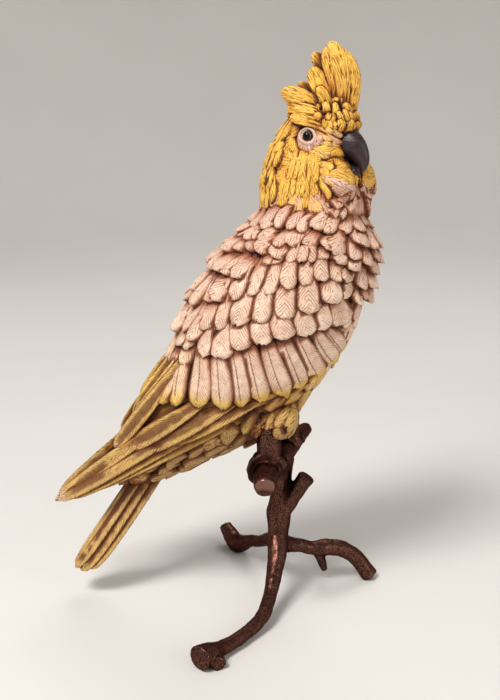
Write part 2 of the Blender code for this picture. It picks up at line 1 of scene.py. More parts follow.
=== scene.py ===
"""The looks of a painted cast cockatoo on its branch stand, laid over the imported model.

Sizes are in millimetres, in the frame of the part's own source, and the finished pieces are in metres. The
bird faces +X with its head turned towards -Y.
"""

import math
import random

import bmesh
import bpy
from mathutils import Matrix, Vector, noise
from mathutils.bvhtree import BVHTree


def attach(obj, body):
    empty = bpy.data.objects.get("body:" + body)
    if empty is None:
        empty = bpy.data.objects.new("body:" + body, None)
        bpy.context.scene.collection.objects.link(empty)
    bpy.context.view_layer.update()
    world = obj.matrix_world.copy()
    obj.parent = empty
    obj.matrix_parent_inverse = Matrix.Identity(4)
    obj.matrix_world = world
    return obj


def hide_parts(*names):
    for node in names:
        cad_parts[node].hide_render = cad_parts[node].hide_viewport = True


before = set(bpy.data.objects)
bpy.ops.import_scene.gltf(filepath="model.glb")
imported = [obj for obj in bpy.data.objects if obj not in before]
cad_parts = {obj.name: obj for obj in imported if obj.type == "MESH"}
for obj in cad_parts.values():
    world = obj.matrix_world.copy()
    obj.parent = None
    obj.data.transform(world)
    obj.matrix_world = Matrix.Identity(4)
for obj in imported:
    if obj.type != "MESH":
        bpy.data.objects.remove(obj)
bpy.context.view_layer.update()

MM = 0.001
# The move from the source's frame to the finished one, whose origin is under the middle of the figurine
AXIS_AT = Vector((17.35, 7.8, 0.0))
CHANCE = random.Random(11)

# The bird's trunk from neck to tail root: back point (x, z), front point (x, z), half width
TORSO = [
    ((9, 222), (55, 222), 23),
    ((8, 214), (57, 212), 26),
    ((2, 206), (61, 203), 29),
    ((-8, 197), (62, 192), 32),
    ((-18, 186), (60, 180), 34),
    ((-26, 173), (56.5, 168), 35),
    ((-33, 159), (52, 155), 35),
    ((-38, 146), (46, 143), 34),
    ((-43, 132), (38.5, 131), 32),
    ((-49, 119), (30, 120), 28),
    ((-54, 108), (22, 107), 24),
    ((-59, 98), (10, 97), 19),
    ((-64, 89), (-8, 90), 15),
    ((-69, 80), (-29, 81), 11),
    ((-75, 70), (-48, 72), 8),
]

# A folded wing seen from the side, from shoulder to tip: lower edge (x, z), upper edge (x, z), least distance
# from the middle of the bird
WING = [
    ((42, 199), (20, 205), 0),
    ((50, 187), (0, 200), 0),
    ((53, 172), (-14, 190), 0),
    ((49, 155), (-22, 178), 0),
    ((42, 142), (-29, 165), 0),
    ((31, 132), (-35, 154), 26),
    ((12, 122), (-41, 142), 26),
    ((-10, 113), (-47, 130), 24),
    ((-30, 104), (-54, 118), 20),
    ((-54, 90), (-63, 103), 15),
    ((-76, 78), (-75, 86), 11),
]
WING_ABOVE_TORSO = 2.5
WING_THICK = 5.0
# Feathers with more yellow than this have it at the tip alone
YELLOW_TIPS_OVER = 0.8

# Rows of wing feathers: root curve (x, z), tip curve (x, z), count, width, thickness, yellow at the tips
WING_ROWS = [
    (
        [(37, 160), (19, 158), (-1, 154), (-20, 149), (-38, 150)],
        [(46, 146), (29, 131), (5, 125), (-20, 120), (-46, 119)],
        11, 12.5, 2.3, 0.9,
    ),
    (
        [(41, 177), (20, 178), (0, 173), (-17, 166), (-32, 167)],
        [(44, 163), (25, 158), (1, 153), (-20, 145), (-39, 150)],
        10, 14.0, 2.6, 0.05,
    ),
    (
        [(44, 190), (24, 190), (4, 186), (-14, 178), (-28, 176)],
        [(46, 177), (25, 169), (-1, 164), (-22, 159), (-37, 160)],
        10, 13.5, 2.5, 0.0,
    ),
    (
        [(46, 198), (30, 201), (12, 199), (-4, 194), (-14, 190)],
        [(49, 187), (29, 184), (4, 179), (-16, 173), (-26, 175)],
        12, 10.5, 2.4, 0.0,
    ),
    (
        [(42, 206), (30, 209), (17, 209)],
        [(46, 196), (30, 195), (9, 192)],
        9, 9.0, 2.2, 0.0,
    ),
]

# Rows of belly feathers below the wing, hanging over the thighs, in the same terms
BELLY_ROWS = [
    (
        [(33, 128), (25, 122), (16, 116), (4, 111), (-8, 107), (-22, 102)],
        [(23, 113), (13, 107.5), (2, 103), (-11, 99), (-24, 94), (-38, 89)],
        11, 8.0, 1.3, 0.7,
    ),
    (
        [(26, 119), (20, 114), (13, 109), (4, 105), (-8, 100)],
        [(17, 106), (8, 101.5), (-1, 98.5), (-11, 95), (-24, 89)],
        9, 7.5, 1.2, 0.78,
    ),
    (
        [(21, 111), (16, 107), (11, 105), (4, 103)],
        [(13, 101), (7, 99.5), (0, 98.5), (-8, 97)],
        6, 7.0, 1.2, 0.8,
    ),
]

# The long wing blades: root (x, z), tip (x, z), distance of root and tip from the middle, width, thickness
WING_BLADES = [
    ((34, 135), (-91, 65), 27, 10, 10.0, 2.6),
    ((22, 138), (-99, 61), 27, 9, 11.0, 2.6),
    ((2, 133), (-105, 59), 28, 8, 10.0, 2.8),
    ((-20, 130), (-107, 58), 25, 6, 8.0, 3.0),
    ((6, 125), (-42, 97), 32, 20, 9.5, 2.6),
    ((-8, 123), (-57, 92), 31, 18, 11.0, 2.6),
    ((-24, 122), (-66, 92), 29, 16, 10.0, 2.6),
    ((-34, 142), (-72, 92), 22, 15, 8.5, 2.8),
    ((-33, 146), (-65, 101), 20, 14, 8.5, 2.8),
    ((-34, 149), (-60, 112), 12, 9, 8.5, 2.8),
]

# Rings of trunk feathers: place along the trunk, first and last turn from the breast in degrees, count,
# length, width, lift of the tips
TORSO_ROWS = [
    (0.03, 0, 180, 13, 13, 10, 3.5),
    (0.09, 0, 75, 7, 13, 11, 6.0),
    (0.09, 78, 180, 8, 15, 11, 5.0),
    (0.145, 0, 62, 6, 13, 11, 6.5),
    (0.15, 100, 180, 6, 16, 11, 5.5),
    (0.20, 0, 54, 5, 13, 11, 7.0),
    (0.21, 118, 180, 5, 18, 12, 5.5),
    (0.255, 0, 42, 4, 13, 10, 7.0),
    (0.29, 124, 180, 5, 19, 12, 5.5),
    (0.37, 132, 180, 4, 20, 12, 5.5),
    (0.45, 136, 180, 4, 20, 11, 3.5),
    (0.32, 0, 36, 4, 15, 11, 2.2),
    (0.39, 0, 36, 4, 16, 11, 2.2),
    (0.46, 0, 38, 4, 16, 11, 2.2),
    (0.53, 0, 44, 5, 16, 11, 2.2),
    (0.60, 0, 60, 6, 15, 11, 2.2),
    (0.66, 0, 75, 6, 14, 11, 2.2),
    (0.72, 0, 85, 5, 14, 10, 2.2),
    (0.79, 0, 90, 5, 15, 8, 2.2),
    (0.86, 0, 120, 5, 15, 8, 2.0),
    (0.91, 0, 180, 6, 14, 7, 1.8),
    (0.96, 0, 180, 5, 13, 7, 1.6),
]

# The thighs, sunk in the belly over each foot: middle (x, side, z) and half axes
THIGH_AT = (12, 18, 109)
THIGH_SIZE = (12, 8.5, 11.5)
# Rings of feathers round each thigh: height over its middle, count, length, width
THIGH_ROWS = [(-3, 11, 8.0, 6.0), (2, 11, 8.5, 6.5), (6.5, 9, 9.0, 6.5)]
THIGH_YELLOW = 0.78

# The head, as level rings from the throat up: height, forward reach, backward reach, half width
HEAD_YAW = math.radians(-38)
HEAD_AT = Vector((36, -1, 0))
HEAD = [
    (209, 20, 24, 22),
    (216, 22, 27, 25),
    (223, 22, 27.5, 26),
    (231, 20, 26.5, 26.5),
    (239, 17.5, 24.5, 25),
    (247, 16, 22, 22.5),
    (255, 17, 18.5, 19),
    (262, 18, 14.5, 14.5),
    (267, 13, 9, 8),
]
# The cheeks stand out on either side of the bill: middle (forwards, aside, up) and half axes
CHEEK_AT = (13.5, 11, 231)
CHEEK_SIZE = (9.5, 8, 12)

# The ear's turn from forwards in degrees and its height, and the head's radius there
EAR_TURN = 78.0
EAR_UP = 242.0
HEAD_REACH = 26.0
# Rings of head feathers round the ear: reach of root and tip, first and last turn in degrees from forwards
# through down, count, width, thickness, lift of the tips
FACE_ROWS = [
    (0, 11, -40, 238, 13, 5.4, 1.1, 0.7),
    (5, 17, -34, 226, 15, 5.8, 1.2, 0.9),
    (10, 23, -26, 218, 17, 6.2, 1.3, 1.2),
    (15, 27, -16, 208, 15, 8.4, 1.6, 2.0),
    (19, 31, -4, 200, 13, 10.6, 1.9, 3.0),
    (24, 35, 6, 186, 12, 10.6, 2.0, 3.0),
]
# Rings of feathers down the back of the head, from a turn on one side to one on the other, in degrees, and
# how far they swirl: height, count, length, width
CROWN_TURNS = (106, 254)
CROWN_SWIRL = 0.12
CROWN_ROWS = [
    (265, 13, 14, 5.0),
    (260, 17, 16, 5.0),
    (254, 19, 16, 5.2),
    (247, 20, 16, 5.4),
    (240, 20, 16, 5.6),
    (233, 20, 15, 6.0),
    (226, 17, 13, 7.0),
]

# Patches of small feathers on each side of the head: the first and last root and the first and last tip, each
# (turn from forwards in degrees, height), then count, width and yellow. They are the brow in three rows, the
# bare-looking skin before the eye in two, the ear in two, the feathers behind the eye, and the throat in two
HEAD_PATCHES = [
    ((6, 266), (10, 260), (34, 266), (38, 261), 4, 4.6, 1.0),
    ((32, 261), (30, 266), (62, 263), (60, 266), 3, 4.8, 1.0),
    ((54, 263), (56, 266), (92, 263), (90, 266), 3, 4.8, 1.0),
    ((44, 262), (52, 245), (20, 257), (24, 243), 6, 4.6, 0.5),
    ((62, 263), (66, 246), (36, 260), (44, 243), 6, 4.6, 0.6),
    ((60, 246), (90, 248), (54, 232), (94, 234), 9, 3.6, 1.0),
    ((58, 240), (96, 241), (52, 225), (98, 226), 9, 3.8, 1.0),
    ((88, 264), (94, 252), (114, 256), (116, 244), 5, 4.6, 1.0),
    ((3, 237), (22, 237), (3, 225), (24, 225), 3, 6.4, 0.0),
    ((2, 227), (24, 227), (2, 214), (26, 214), 3, 7.4, 0.0),
]

# The height at which the body's cream turns to the head's yellow, and how much higher it is under the bill
YELLOW_FROM = 216
YELLOW_RISE = 15

# The bill, in the head's own frame: forwards, up, half height, half width
UPPER_BILL = [
    (9, 250.5, 9.4, 7.4),
    (14.5, 250.8, 9.0, 7.0),
    (19.2, 249.4, 7.4, 5.9),
    (22.8, 246.4, 5.6, 4.4),
    (25.2, 242, 3.8, 2.9),
    (25.4, 237.5, 1.2, 1.2),
]
LOWER_BILL = [(14, 237, 5.0, 4.6), (19, 236.5, 4.0, 4.0), (22.5, 237.5, 2.0, 2.6)]
# The eye, in the head's own frame: forwards, aside, up. No feather of the face starts or ends in its clearance
EYE_AT = (4.7, 18.4, 254.6)
EYE_RADIUS = 2.75
EYE_CLEAR = 8.0
# The bare skin round it: reach ahead and behind, reach up and down, and the share of it left open for the eye
EYE_SKIN_LEVEL = (14.0, 7.5)
EYE_SKIN_UPRIGHT = (7.0, 11.0)
EYE_OPEN = 0.22
# What stands up on that skin: a ring round the eye, with its radius, width and height, and a fold before it,
# with its place ahead and up and its height
EYE_RING = (3.9, 0.75, 1.2)
EYE_FOLD = (7.8, -1.0, 1.8)

# The crest's feathers: root (x, y, z), middle, tip, width, thickness
CREST = [
    ((48.5, -8, 257), (50.5, -8, 282), (43, -5, 296.5), 10.0, 3.6),
    ((46, -9, 257), (46, -9.5, 283), (39.5, -6, 300), 10.0, 3.6),
    ((43, -8.5, 258), (41, -9, 281), (37.5, -7, 297.5), 8.5, 3.6),
    ((47, -2, 262), (46, 0, 283), (39, 0, 297), 10.0, 3.6),
    ((42, -5, 266), (37.5, -5, 284), (31.5, -4.5, 295), 7.5, 3.2),
    ((41, -10.5, 262), (35.5, -11, 276), (30.5, -9.5, 287.5), 10.0, 3.6),
    ((42, -13, 262), (37.5, -14.2, 271), (33.5, -12.5, 278.5), 6.0, 3.0),
    ((35, -7, 266), (29, -7.5, 275), (24.5, -6.5, 280.5), 6.0, 3.4),
    ((41, -11.5, 262), (28, -12.6, 272), (15.5, -9, 276), 9.0, 3.8),
    ((43, -15.5, 259), (30, -15.5, 266), (18.5, -10.5, 268.5), 7.5, 3.6),
    ((41, -17.5, 257), (30, -17.5, 261.5), (20, -12.5, 264), 6.5, 3.4),
    ((34, 0, 260), (26, 2, 269), (18, 1, 274), 8.0, 3.8),
    ((32, 0, 257), (25, 1, 264), (19, 1, 267), 8.0, 3.6),
]
# The ruffled tufts round the foot of the crest: reach from the head's middle, height of their foot, their own
# height, count, first and last turn in degrees
BROW_TUFTS = [
    (19.0, 256.5, 5.5, 22, -72, 80),
    (18.0, 260.0, 5.5, 22, -80, 86),
    (16.0, 263.5, 6.0, 20, -100, 100),
    (13.0, 266.5, 6.5, 17, -120, 120),
    (9.5, 268.5, 7.0, 12, -120, 120),
]

# The tail's feathers: root (x, y, z), tip, width, thickness, lean of the blade towards the side in degrees
TAIL = [
    ((-58, 0, 80), (-98.5, 0, 18), 11, 2.6, 0),
    ((-56, -4, 79), (-98, -4, 17), 11, 2.4, -38),
    ((-53, -5, 77), (-94.5, -6, 16), 11.5, 2.4, -58),
    ((-49, -5, 74), (-89, -7, 17.5), 9, 2.4, -66),
    ((-56, 4, 79), (-98, 4, 17), 11, 2.4, 38),
    ((-53, 5, 77), (-94.5, 6, 16), 11.5, 2.4, 58),
    ((-49, 5, 74), (-89, 7, 17.5), 9, 2.4, 66),
]

# The branch stand, as limbs: points (x, y, z) with a radius at each
PERCH = [
    ((7.5, -42, 79), 5.4),
    ((8, -31, 81.5), 6.6),
    ((12, -16, 83), 7.2),
    ((17, 2, 82.5), 7.0),
    ((23, 18, 83), 6.2),
    ((29, 32, 84), 4.8),
    ((33, 41, 84), 3.8),
]
TRUNK = [
    ((18, 2, 80), 6.8),
    ((17.5, 1, 66), 5.4),
    ((16.5, 0, 56), 5.8),
    ((16, 0, 49), 7.2),
    ((16, 0, 43), 6.9),
    ((15.7, 0, 37), 6.0),
    ((15.5, -1, 30), 6.2),
]
STUB = [((17, 0, 47), 5.0), ((21.5, -1, 54), 4.6), ((26, -2, 62), 4.4), ((31, -3, 71), 4.9)]
FRONT_LEG = [
    ((15.5, -1, 34), 6.0),
    ((15, -9.6, 26), 5.2),
    ((13.5, -16.5, 20), 4.6),
    ((11.3, -26, 13.5), 4.1),
    ((9, -35, 9.5), 3.9),
    ((6, -43, 7), 3.9),
    ((0, -52, 5.2), 3.7),
    ((-7.6, -62, 4.6), 3.6),
    ((-15, -70, 4.8), 4.2),
    ((-20.5, -77, 6.0), 6.0),
    ((-25, -82, 6.4), 6.4),
]
RIGHT_LEG = [
    ((16, 0, 31), 5.8),
    ((22, 4, 27), 4.8),
    ((28.8, 7.5, 24.7), 4.0),
    ((35, 9.5, 22.5), 4.1),
    ((40.5, 10.5, 22), 4.9),
    ((46.5, 12.5, 21.5), 5.1),
    ((52.5, 14, 20), 4.8),
    ((59, 16.5, 15.5), 4.8),
    ((64.8, 17.5, 9.5), 4.9),
    ((70.2, 17, 1.2), 5.2),
]
SPUR = [((39, 11, 20), 3.6), ((41.5, 12.5, 13), 2.9), ((43.3, 14, 6.5), 2.0)]
BACK_LEG = [
    ((15, 0, 32), 5.4),
    ((10.4, 13, 26), 3.9),
    ((6, 24, 20), 3.6),
    ((0, 36, 14.5), 3.8),
    ((-5, 48, 7.5), 5.4),
    ((-9, 55, 5), 5.6),
    ((-13, 62, 8.5), 4.8),
    ((-16, 66, 12), 3.8),
]
FRONT_KNOT = [((-18, -76, 4.5), 4.2), ((-14.6, -82.5, 3.4), 3.7)]
LIMBS = [PERCH, TRUNK, STUB, FRONT_LEG, FRONT_KNOT, RIGHT_LEG, SPUR, BACK_LEG]
LIMB_SIDES = 20
# The feet: where they cross the perch, their toes' radius, distance from the foot's middle and turns down the
# perch's back and front in degrees, and the ankle
FOOT_Y = (-22.0, 13.0)
TOE_RADIUS = 2.6
TOE_SPREAD = 3.4
TOE_TURNS = (-135, 75)
ANKLE_RADIUS = 6.8
ANKLE_TOP = 107.0
# The room round the perch that feathers stay out of. The feathers near it are below a height and ahead of an x
PERCH_CLEARANCE = 13.2
NEAR_PERCH_UNDER = 100
NEAR_PERCH_AHEAD = -12
# Where the perch's near cut end begins, along Y in the finished frame
PERCH_END = (-34.3, -33.5)

# How far a point of a feather may stray from its straight line, to reach the skin under it, and how deep the
# feather's rim sinks into that skin
STRAY = 6.0
SINK = 1.5
# A distance from the middle that is outside the figurine on every side
OUTSIDE = 200.0
# The size of the grain into which the overlapping forms are fused
SKIN_GRAIN = 1.1
STAND_GRAIN = 0.8
# The cast bark's large lumps and fine ridges: scale across, scale up the branch, height
LUMPS = (0.13, 0.08, 0.5)
RIDGES = (0.45, 0.16, 0.25)

# The yellows of the plumage and of the head and crest, as screen colours: deep, light, brushed dry over the
# ridges and also a painted highlight, browned and also painted shade low on the bird, and the wash in the
# grooves, which is also painted shade in the recesses
PALE = [(206, 146, 46), (236, 188, 84), (252, 228, 150), (142, 86, 32), (104, 54, 18)]
GOLD = [(210, 140, 38), (242, 188, 68), (255, 222, 122), (190, 106, 26), (116, 58, 16)]

# The stage's round floor and the wall that it curves up into, as rings: radius and height in metres
STAGE = [(0.6, 0), (1.3, 0), (1.6, 0.04), (1.85, 0.2), (2.0, 0.5), (2.05, 0.9), (2.05, 1.2)]
# The lamps: place and size in metres, power in watts. They point at the middle of the figurine
LAMPS = {
    "key_lamp": ((-0.5, -0.7, 1.25), 0.45, 20),
    "fill_lamp": ((1.3, -0.9, 0.7), 1.0, 6),
    "back_lamp": ((0.2, 1.0, 1.3), 0.8, 6),
}
LAMPS_AIM = Vector((0, 0, 0.16))
WORLD_STRENGTH = 0.34
# The photo's camera: place in metres, tilt from straight down in degrees, lens in mm on a 36 mm sensor
CAMERA_AT = (0.01735, -0.5122, 0.270)
CAMERA_TILT = 76.15
CAMERA_LENS = 51.33
CAMERA_SENSOR = 36


def smooth(points, t):
    """The point at t, from 0 to 1, on a smooth curve through a list of equal-length number lists."""
    span = len(points) - 1
    i = min(int(t * span), span - 1)
    f = t * span - i
    a, b = points[max(i - 1, 0)], points[i]
    c, d = points[i + 1], points[min(i + 2, span)]
    return [
        0.5 * (2 * q + (r - p) * f + (2 * p - 5 * q + 4 * r - s) * f * f + (3 * q - p - 3 * r + s) * f**3)
        for p, q, r, s in zip(a, b, c, d)
    ]


def flat(items):
    """Each item's nested numbers as one list."""
    out = []
    for item in items:
        out += flat(item) if isinstance(item, (tuple, list, Vector)) else [item]
    return out


def step(low, high, x):
    """0 below low and 1 above high, with a smooth rise between them."""
    t = min(max((x - low) / (high - low), 0.0), 1.0)
    return t * t * (3 - 2 * t)


def wobble(most):
    """A random number from -most to most."""
    return CHANCE.uniform(-most, most)


def nth_turn(first, last, i, count, loose):
    """The turn of one of count feathers, spread from first to last in degrees and moved by a loose share."""
    return math.radians(first + (last - first) * (i + 0.5 + wobble(loose)) / count)


def plain(tint):
    """Paint with one yellow from root to tip."""
    return lambda share: tint


# What the paint reads on each point of a feather

MARKS = ("across", "along", "share", "yellow", "seed", "rim")


def marked_mesh():
    """A new mesh whose points carry the numbers that the paint reads."""
    mesh = bmesh.new()
    for name in MARKS:
        mesh.verts.layers.float.new(name)
    return mesh


def mark(mesh, vert, **values):
    """Writes the paint's numbers on one point."""
    for name, value in values.items():
        vert[mesh.verts.layers.float[name]] = value


def add_copy(mesh, one):
    """Adds one small mesh to a larger one, and lets it go."""
    data = bpy.data.meshes.new("one")
    one.to_mesh(data)
    one.free()
    mesh.from_mesh(data)
    bpy.data.meshes.remove(data)


def loft(whole, rings, points=28, yellow=None, seed=0.0, rib=0.0, ruffle=0.0):
    """A closed skin over elliptical rings, each (middle, first half axis, second half axis).

    Rib raises a shaft and the rims of a feather, as a share of its thickness, and ruffle waves its surface.
    """
    mesh = marked_mesh() if yellow else bmesh.new()
    loops, along = [], 0.0
    for n, (middle, u, v) in enumerate(rings):
        place = Matrix((u, v, u.cross(v).normalized())).transposed().to_4x4()
        place.translation = middle
        along += (middle - rings[n - 1][0]).length if n else 0.0
        ends = n in (0, len(rings) - 1)
        made = bmesh.ops.create_circle(mesh, cap_ends=ends, segments=points, radius=1.0, matrix=place)
        loops.append(list({e for vert in made["verts"] for e in vert.link_edges}))
        if yellow is None:
            continue
        share = n / (len(rings) - 1)
        for vert in made["verts"]:
            across = (vert.co - middle).dot(u.normalized())
            rim = abs(across) / u.length
            shape = rib * (1.4 * math.exp(-((rim / 0.14) ** 2)) + 0.9 * rim**4 - 0.35)
            shape += ruffle * math.sin(across * 3.1 + 2.0 * math.sin(along * 0.35 + seed * 9) + seed * 40)
            over = (vert.co - middle).dot(v.normalized())
            vert.co += v.normalized() * shape * over * min(1.0, share * 5)
            mark(mesh, vert, across=across, along=along, share=share)
            mark(mesh, vert, yellow=yellow(share), seed=seed, rim=rim)
    for first, second in zip(loops, loops[1:]):
        bmesh.ops.bridge_loops(mesh, edges=first + second)
    bmesh.ops.recalc_face_normals(mesh, faces=mesh.faces)
    add_copy(whole, mesh)


def torso_ring(t):
    """Middle and half axes of the trunk's ring at t: towards the breast, and across the bird."""
    bx, bz, fx, fz, half = smooth([flat(row) for row in TORSO], t)
    back, front = Vector((bx, 0, bz)), Vector((fx, 0, fz))
    return (back + front) / 2, (front - back) / 2, Vector((0, half, 0))


def torso_point(t, turn):
    """The point on the trunk at t along it and a turn from the breast."""
    middle, u, v = torso_ring(t)
    return middle + u * math.cos(turn) + v * math.sin(turn)


def head_point(forward, left, up):
    """A place given in the head's own frame."""
    turned = Matrix.Rotation(HEAD_YAW, 3, "Z") @ Vector((forward, left, 0))
    return HEAD_AT + turned + Vector((0, 0, up))


def head_ring(row):
    """Middle and half axes of a level ring of the head."""
    up, front, back, half = row
    turn = Matrix.Rotation(HEAD_YAW, 3, "Z")
    middle = head_point((front - back) / 2, 0, up)
    return middle, turn @ Vector(((front + back) / 2, 0, 0)), turn @ Vector((0, half, 0))


def surface_of(mesh):
    """What snapping and ray casts search."""
    bmesh.ops.recalc_face_normals(mesh, faces=mesh.faces)
    return BVHTree.FromBMesh(mesh)


def add_torso(mesh):
    loft(mesh, [torso_ring(i / 29) for i in range(30)])


def add_head(mesh):
    loft(mesh, [head_ring(smooth(HEAD, i / 17)) for i in range(18)])


def add_cheeks(mesh):
    forward, aside, up = CHEEK_AT
    turn = Matrix.Rotation(HEAD_YAW, 4, "Z")
    for side in (-1, 1):
        middle = Matrix.Translation(head_point(forward, side * aside, up))
        place = middle @ turn @ Matrix.Diagonal((*CHEEK_SIZE, 1))
        bmesh.ops.create_icosphere(mesh, subdivisions=3, radius=1, matrix=place)


def add_thighs(mesh):
    x, out, z = THIGH_AT
    for side in (-1, 1):
        place = Matrix.Translation((x, side * out, z)) @ Matrix.Diagonal((*THIGH_SIZE, 1))
        bmesh.ops.create_icosphere(mesh, subdivisions=3, radius=1, matrix=place)


def add_wing(mesh, torso, side):
    """A closed plate that lies on the trunk and runs on towards the wing's tip. Side is -1 for the right."""
    made = bmesh.ops.create_grid(mesh, x_segments=60, y_segments=24, size=0.5)
    faces = {f for vert in made["verts"] for f in vert.link_faces}
    edges = [flat(row) for row in WING]
    for vert in made["verts"]:
        lx, lz, ux, uz, least = smooth(edges, vert.co.x + 0.5)
        q = vert.co.y + 0.5
        x, z = lx + (ux - lx) * q, lz + (uz - lz) * q
        hit = torso.ray_cast(Vector((x, side * OUTSIDE, z)), Vector((0, -side, 0)))[0]
        out = max(abs(hit.y) if hit else 0.0, least * math.sqrt(max(0.0, 1 - (1.6 * q - 0.7) ** 2)))
        run = vert.co.x + 0.5
        vert.co = Vector((x, side * (out + WING_ABOVE_TORSO), z))
        if "across" in mesh.verts.layers.float:
            wide = math.hypot(ux - lx, uz - lz)
            mark(mesh, vert, across=q * wide, along=run * 150, share=0.5, yellow=0.55 + 0.3 * run, seed=0.3)
    deep = bmesh.ops.extrude_face_region(mesh, geom=list(faces), use_keep_orig=True)
    moved = [g for g in deep["geom"] if isinstance(g, bmesh.types.BMVert)]
    bmesh.ops.translate(mesh, verts=moved, vec=Vector((0, -side * WING_THICK, 0)))


# Feathers


def half_outline(a, blunt):
    """A feather's half width at a, from its root to its round tip, as a share of the whole."""
    if a < blunt:
        return 0.62 + 0.38 * math.sin(math.pi / 2 * a / blunt)
    return max(0.34, (1 - ((a - blunt) / (1 - blunt)) ** 2.4) ** (1 / 2.4))


def add_feather(
    whole, snap, root, tip, width, thick, lift, yellow,
    tilt=0.0, across=5, along=7, blunt=0.7, bend=0.0,
):
    """A plump feather laid on the surface that snap finds.

    Yellow gives its paint by the share of its length, across and along count its faces, and blunt is the
    share at which its tip starts to round.
    """
    middle, normal = snap((root + tip) / 2)
    side = (tip - root).cross(normal).normalized()
    length = (tip - root).length
    seed = CHANCE.random()
    ragged = [wobble(1) for _ in range(across + 1)]
    mesh = marked_mesh()
    made = bmesh.ops.create_grid(mesh, x_segments=across, y_segments=along, size=0.5)
    deep = bmesh.ops.extrude_face_region(mesh, geom=mesh.faces[:], use_keep_orig=True)
    lower = {g for g in deep["geom"] if isinstance(g, bmesh.types.BMVert)}
    for vert in mesh.verts:
        top = vert not in lower
        b = 2 * vert.co.x
        a = 1 - (1 - (vert.co.y + 0.5)) ** 1.35
        half = half_outline(a, blunt)
        uneven = ragged[round((b + 1) / 2 * across)] * 0.04 * a * a
        aside = b * half * width / 2 + bend * 4 * a * (1 - a)
        aim = root + (tip - root) * (a + uneven) + side * aside
        place, out = snap(aim)
        if (place - aim).length > STRAY:
            place = aim + (place - aim).normalized() * STRAY
        if out.dot(normal) < 0.25:
            out = normal
        dome = thick * math.sqrt(1 - 0.4 * b**2 - 0.48 * b**6) * (1 - 0.3 * a**5)
        raised = lift * a**1.5
        under = raised * 0.75 - SINK if raised > 3.0 else -SINK
        vert.co = place + out * (raised + dome + tilt * b if top else under)
        mark(mesh, vert, across=b * half * width / 2, along=a * length, share=a)
        mark(mesh, vert, yellow=yellow(a), seed=seed, rim=max(abs(b), 0.0 if top else 1.0))
    bottom = [face for face in mesh.faces if all(vert in lower for vert in face.verts)]
    bmesh.ops.dissolve_faces(mesh, faces=bottom)
    bmesh.ops.recalc_face_normals(mesh, faces=mesh.faces)
    top = [face for face in mesh.faces if not any(vert in lower for vert in face.verts)]
    if sum(face.normal.dot(normal) for face in top) < 0:
        bmesh.ops.reverse_faces(mesh, faces=mesh.faces)
    add_copy(whole, mesh)


def nearest_on(tree):
    """Finds the nearest place on the surface."""

    def snap(point):
        place, out, _, _ = tree.find_nearest(point)
        return place, out

    return snap


def sideways_on(tree, side):
    """Finds the surface straight in from the side, as the feather is seen from there."""

    def snap(point):
        start = Vector((point.x, side * OUTSIDE, point.z))
        place, out, _, _ = tree.ray_cast(start, Vector((0, -side, 0)))
        if place is None:
            place, out, _, _ = tree.find_nearest(Vector((point.x, side * 20, point.z)))
        return place, (out if out.y * side > 0 else -out)

    return snap


def around_head(tree, turn, up):
    """The point on the head at a turn from forwards and a height."""
    middle = head_point(0, 0, up)
    way = head_point(math.cos(turn), math.sin(turn), up) - middle
    place = tree.ray_cast(middle + way * OUTSIDE, -way)[0]
    return tree.find_nearest(middle + way * 4)[0] if place is None else place


def head_spot(tree, side, turn, reach):
    """The point on one side of the head at a reach from the ear."""
    forward, down = reach * math.cos(turn), reach * math.sin(turn)
    return around_head(tree, side * (math.radians(EAR_TURN) - forward / HEAD_REACH), EAR_UP - down)


def blade_rings(points, width, thick, face, count, round_tip):
    """Rings of a long flat feather along a smooth line, its flat side towards face."""
    rings = []
    for i in range(count):
        t = i / (count - 1)
        here = Vector(smooth(points, t))
        ahead = Vector(smooth(points, min(t + 0.02, 1))) - Vector(smooth(points, max(t - 0.02, 0)))
        side = ahead.cross(face).normalized()
        up = side.cross(ahead).normalized()
        share = 0.55 + 0.45 * math.sin(math.pi * min(t / 0.7, 1) / 2)
        if t > 0.7:
            share = max(0.02, 1 - ((t - 0.7) / 0.3) ** round_tip) ** (1 / round_tip)
        rings.append((here, side * width / 2 * share, up * thick / 2 * (0.4 + 0.6 * share)))
    return rings


def add_trunk_feathers(mesh, torso):
    """Rings of feathers down the trunk, swept back on its sides and plump on the back of the neck."""
    on_torso = nearest_on(torso)
    for t, first, last, count, length, width, lift in TORSO_ROWS:
        for side in (-1, 1):
            for i in range(count):
                turn = nth_turn(first, last, i, count, 0.12) * side
                behind = abs(turn) / math.pi
                root = torso_point(t + CHANCE.uniform(-0.012, 0.014), turn)
                run = (torso_point(t + 0.04, turn) - root).normalized()
                swept = 0.75 * step(0.12, 0.35, behind) * step(1.0, 0.6, behind)
                run += Vector((-swept * step(0.5, 0.25, t), wobble(0.15), wobble(0.1)))
                run.normalize()
                tip = root + run * length * CHANCE.uniform(0.85, 1.15)
                low = 0.85 * step(0.34, 0.66, t) + 0.12 * step(0.5, 1.0, behind) * step(0.25, 0.5, t)
                tint = min(1.0, max(0.0, low + wobble(0.08)))
                puff = 1.2 * step(0.5, 0.66, behind) * step(0.5, 0.35, t)
                add_feather(
                    mesh, on_torso, root, tip, width * CHANCE.uniform(0.8, 1.2),
                    CHANCE.uniform(2.2, 3.2) + puff, lift * CHANCE.uniform(0.7, 1.1), plain(tint),
                    tilt=wobble(1.2), blunt=CHANCE.uniform(0.5, 0.72), bend=wobble(1.5),
                )


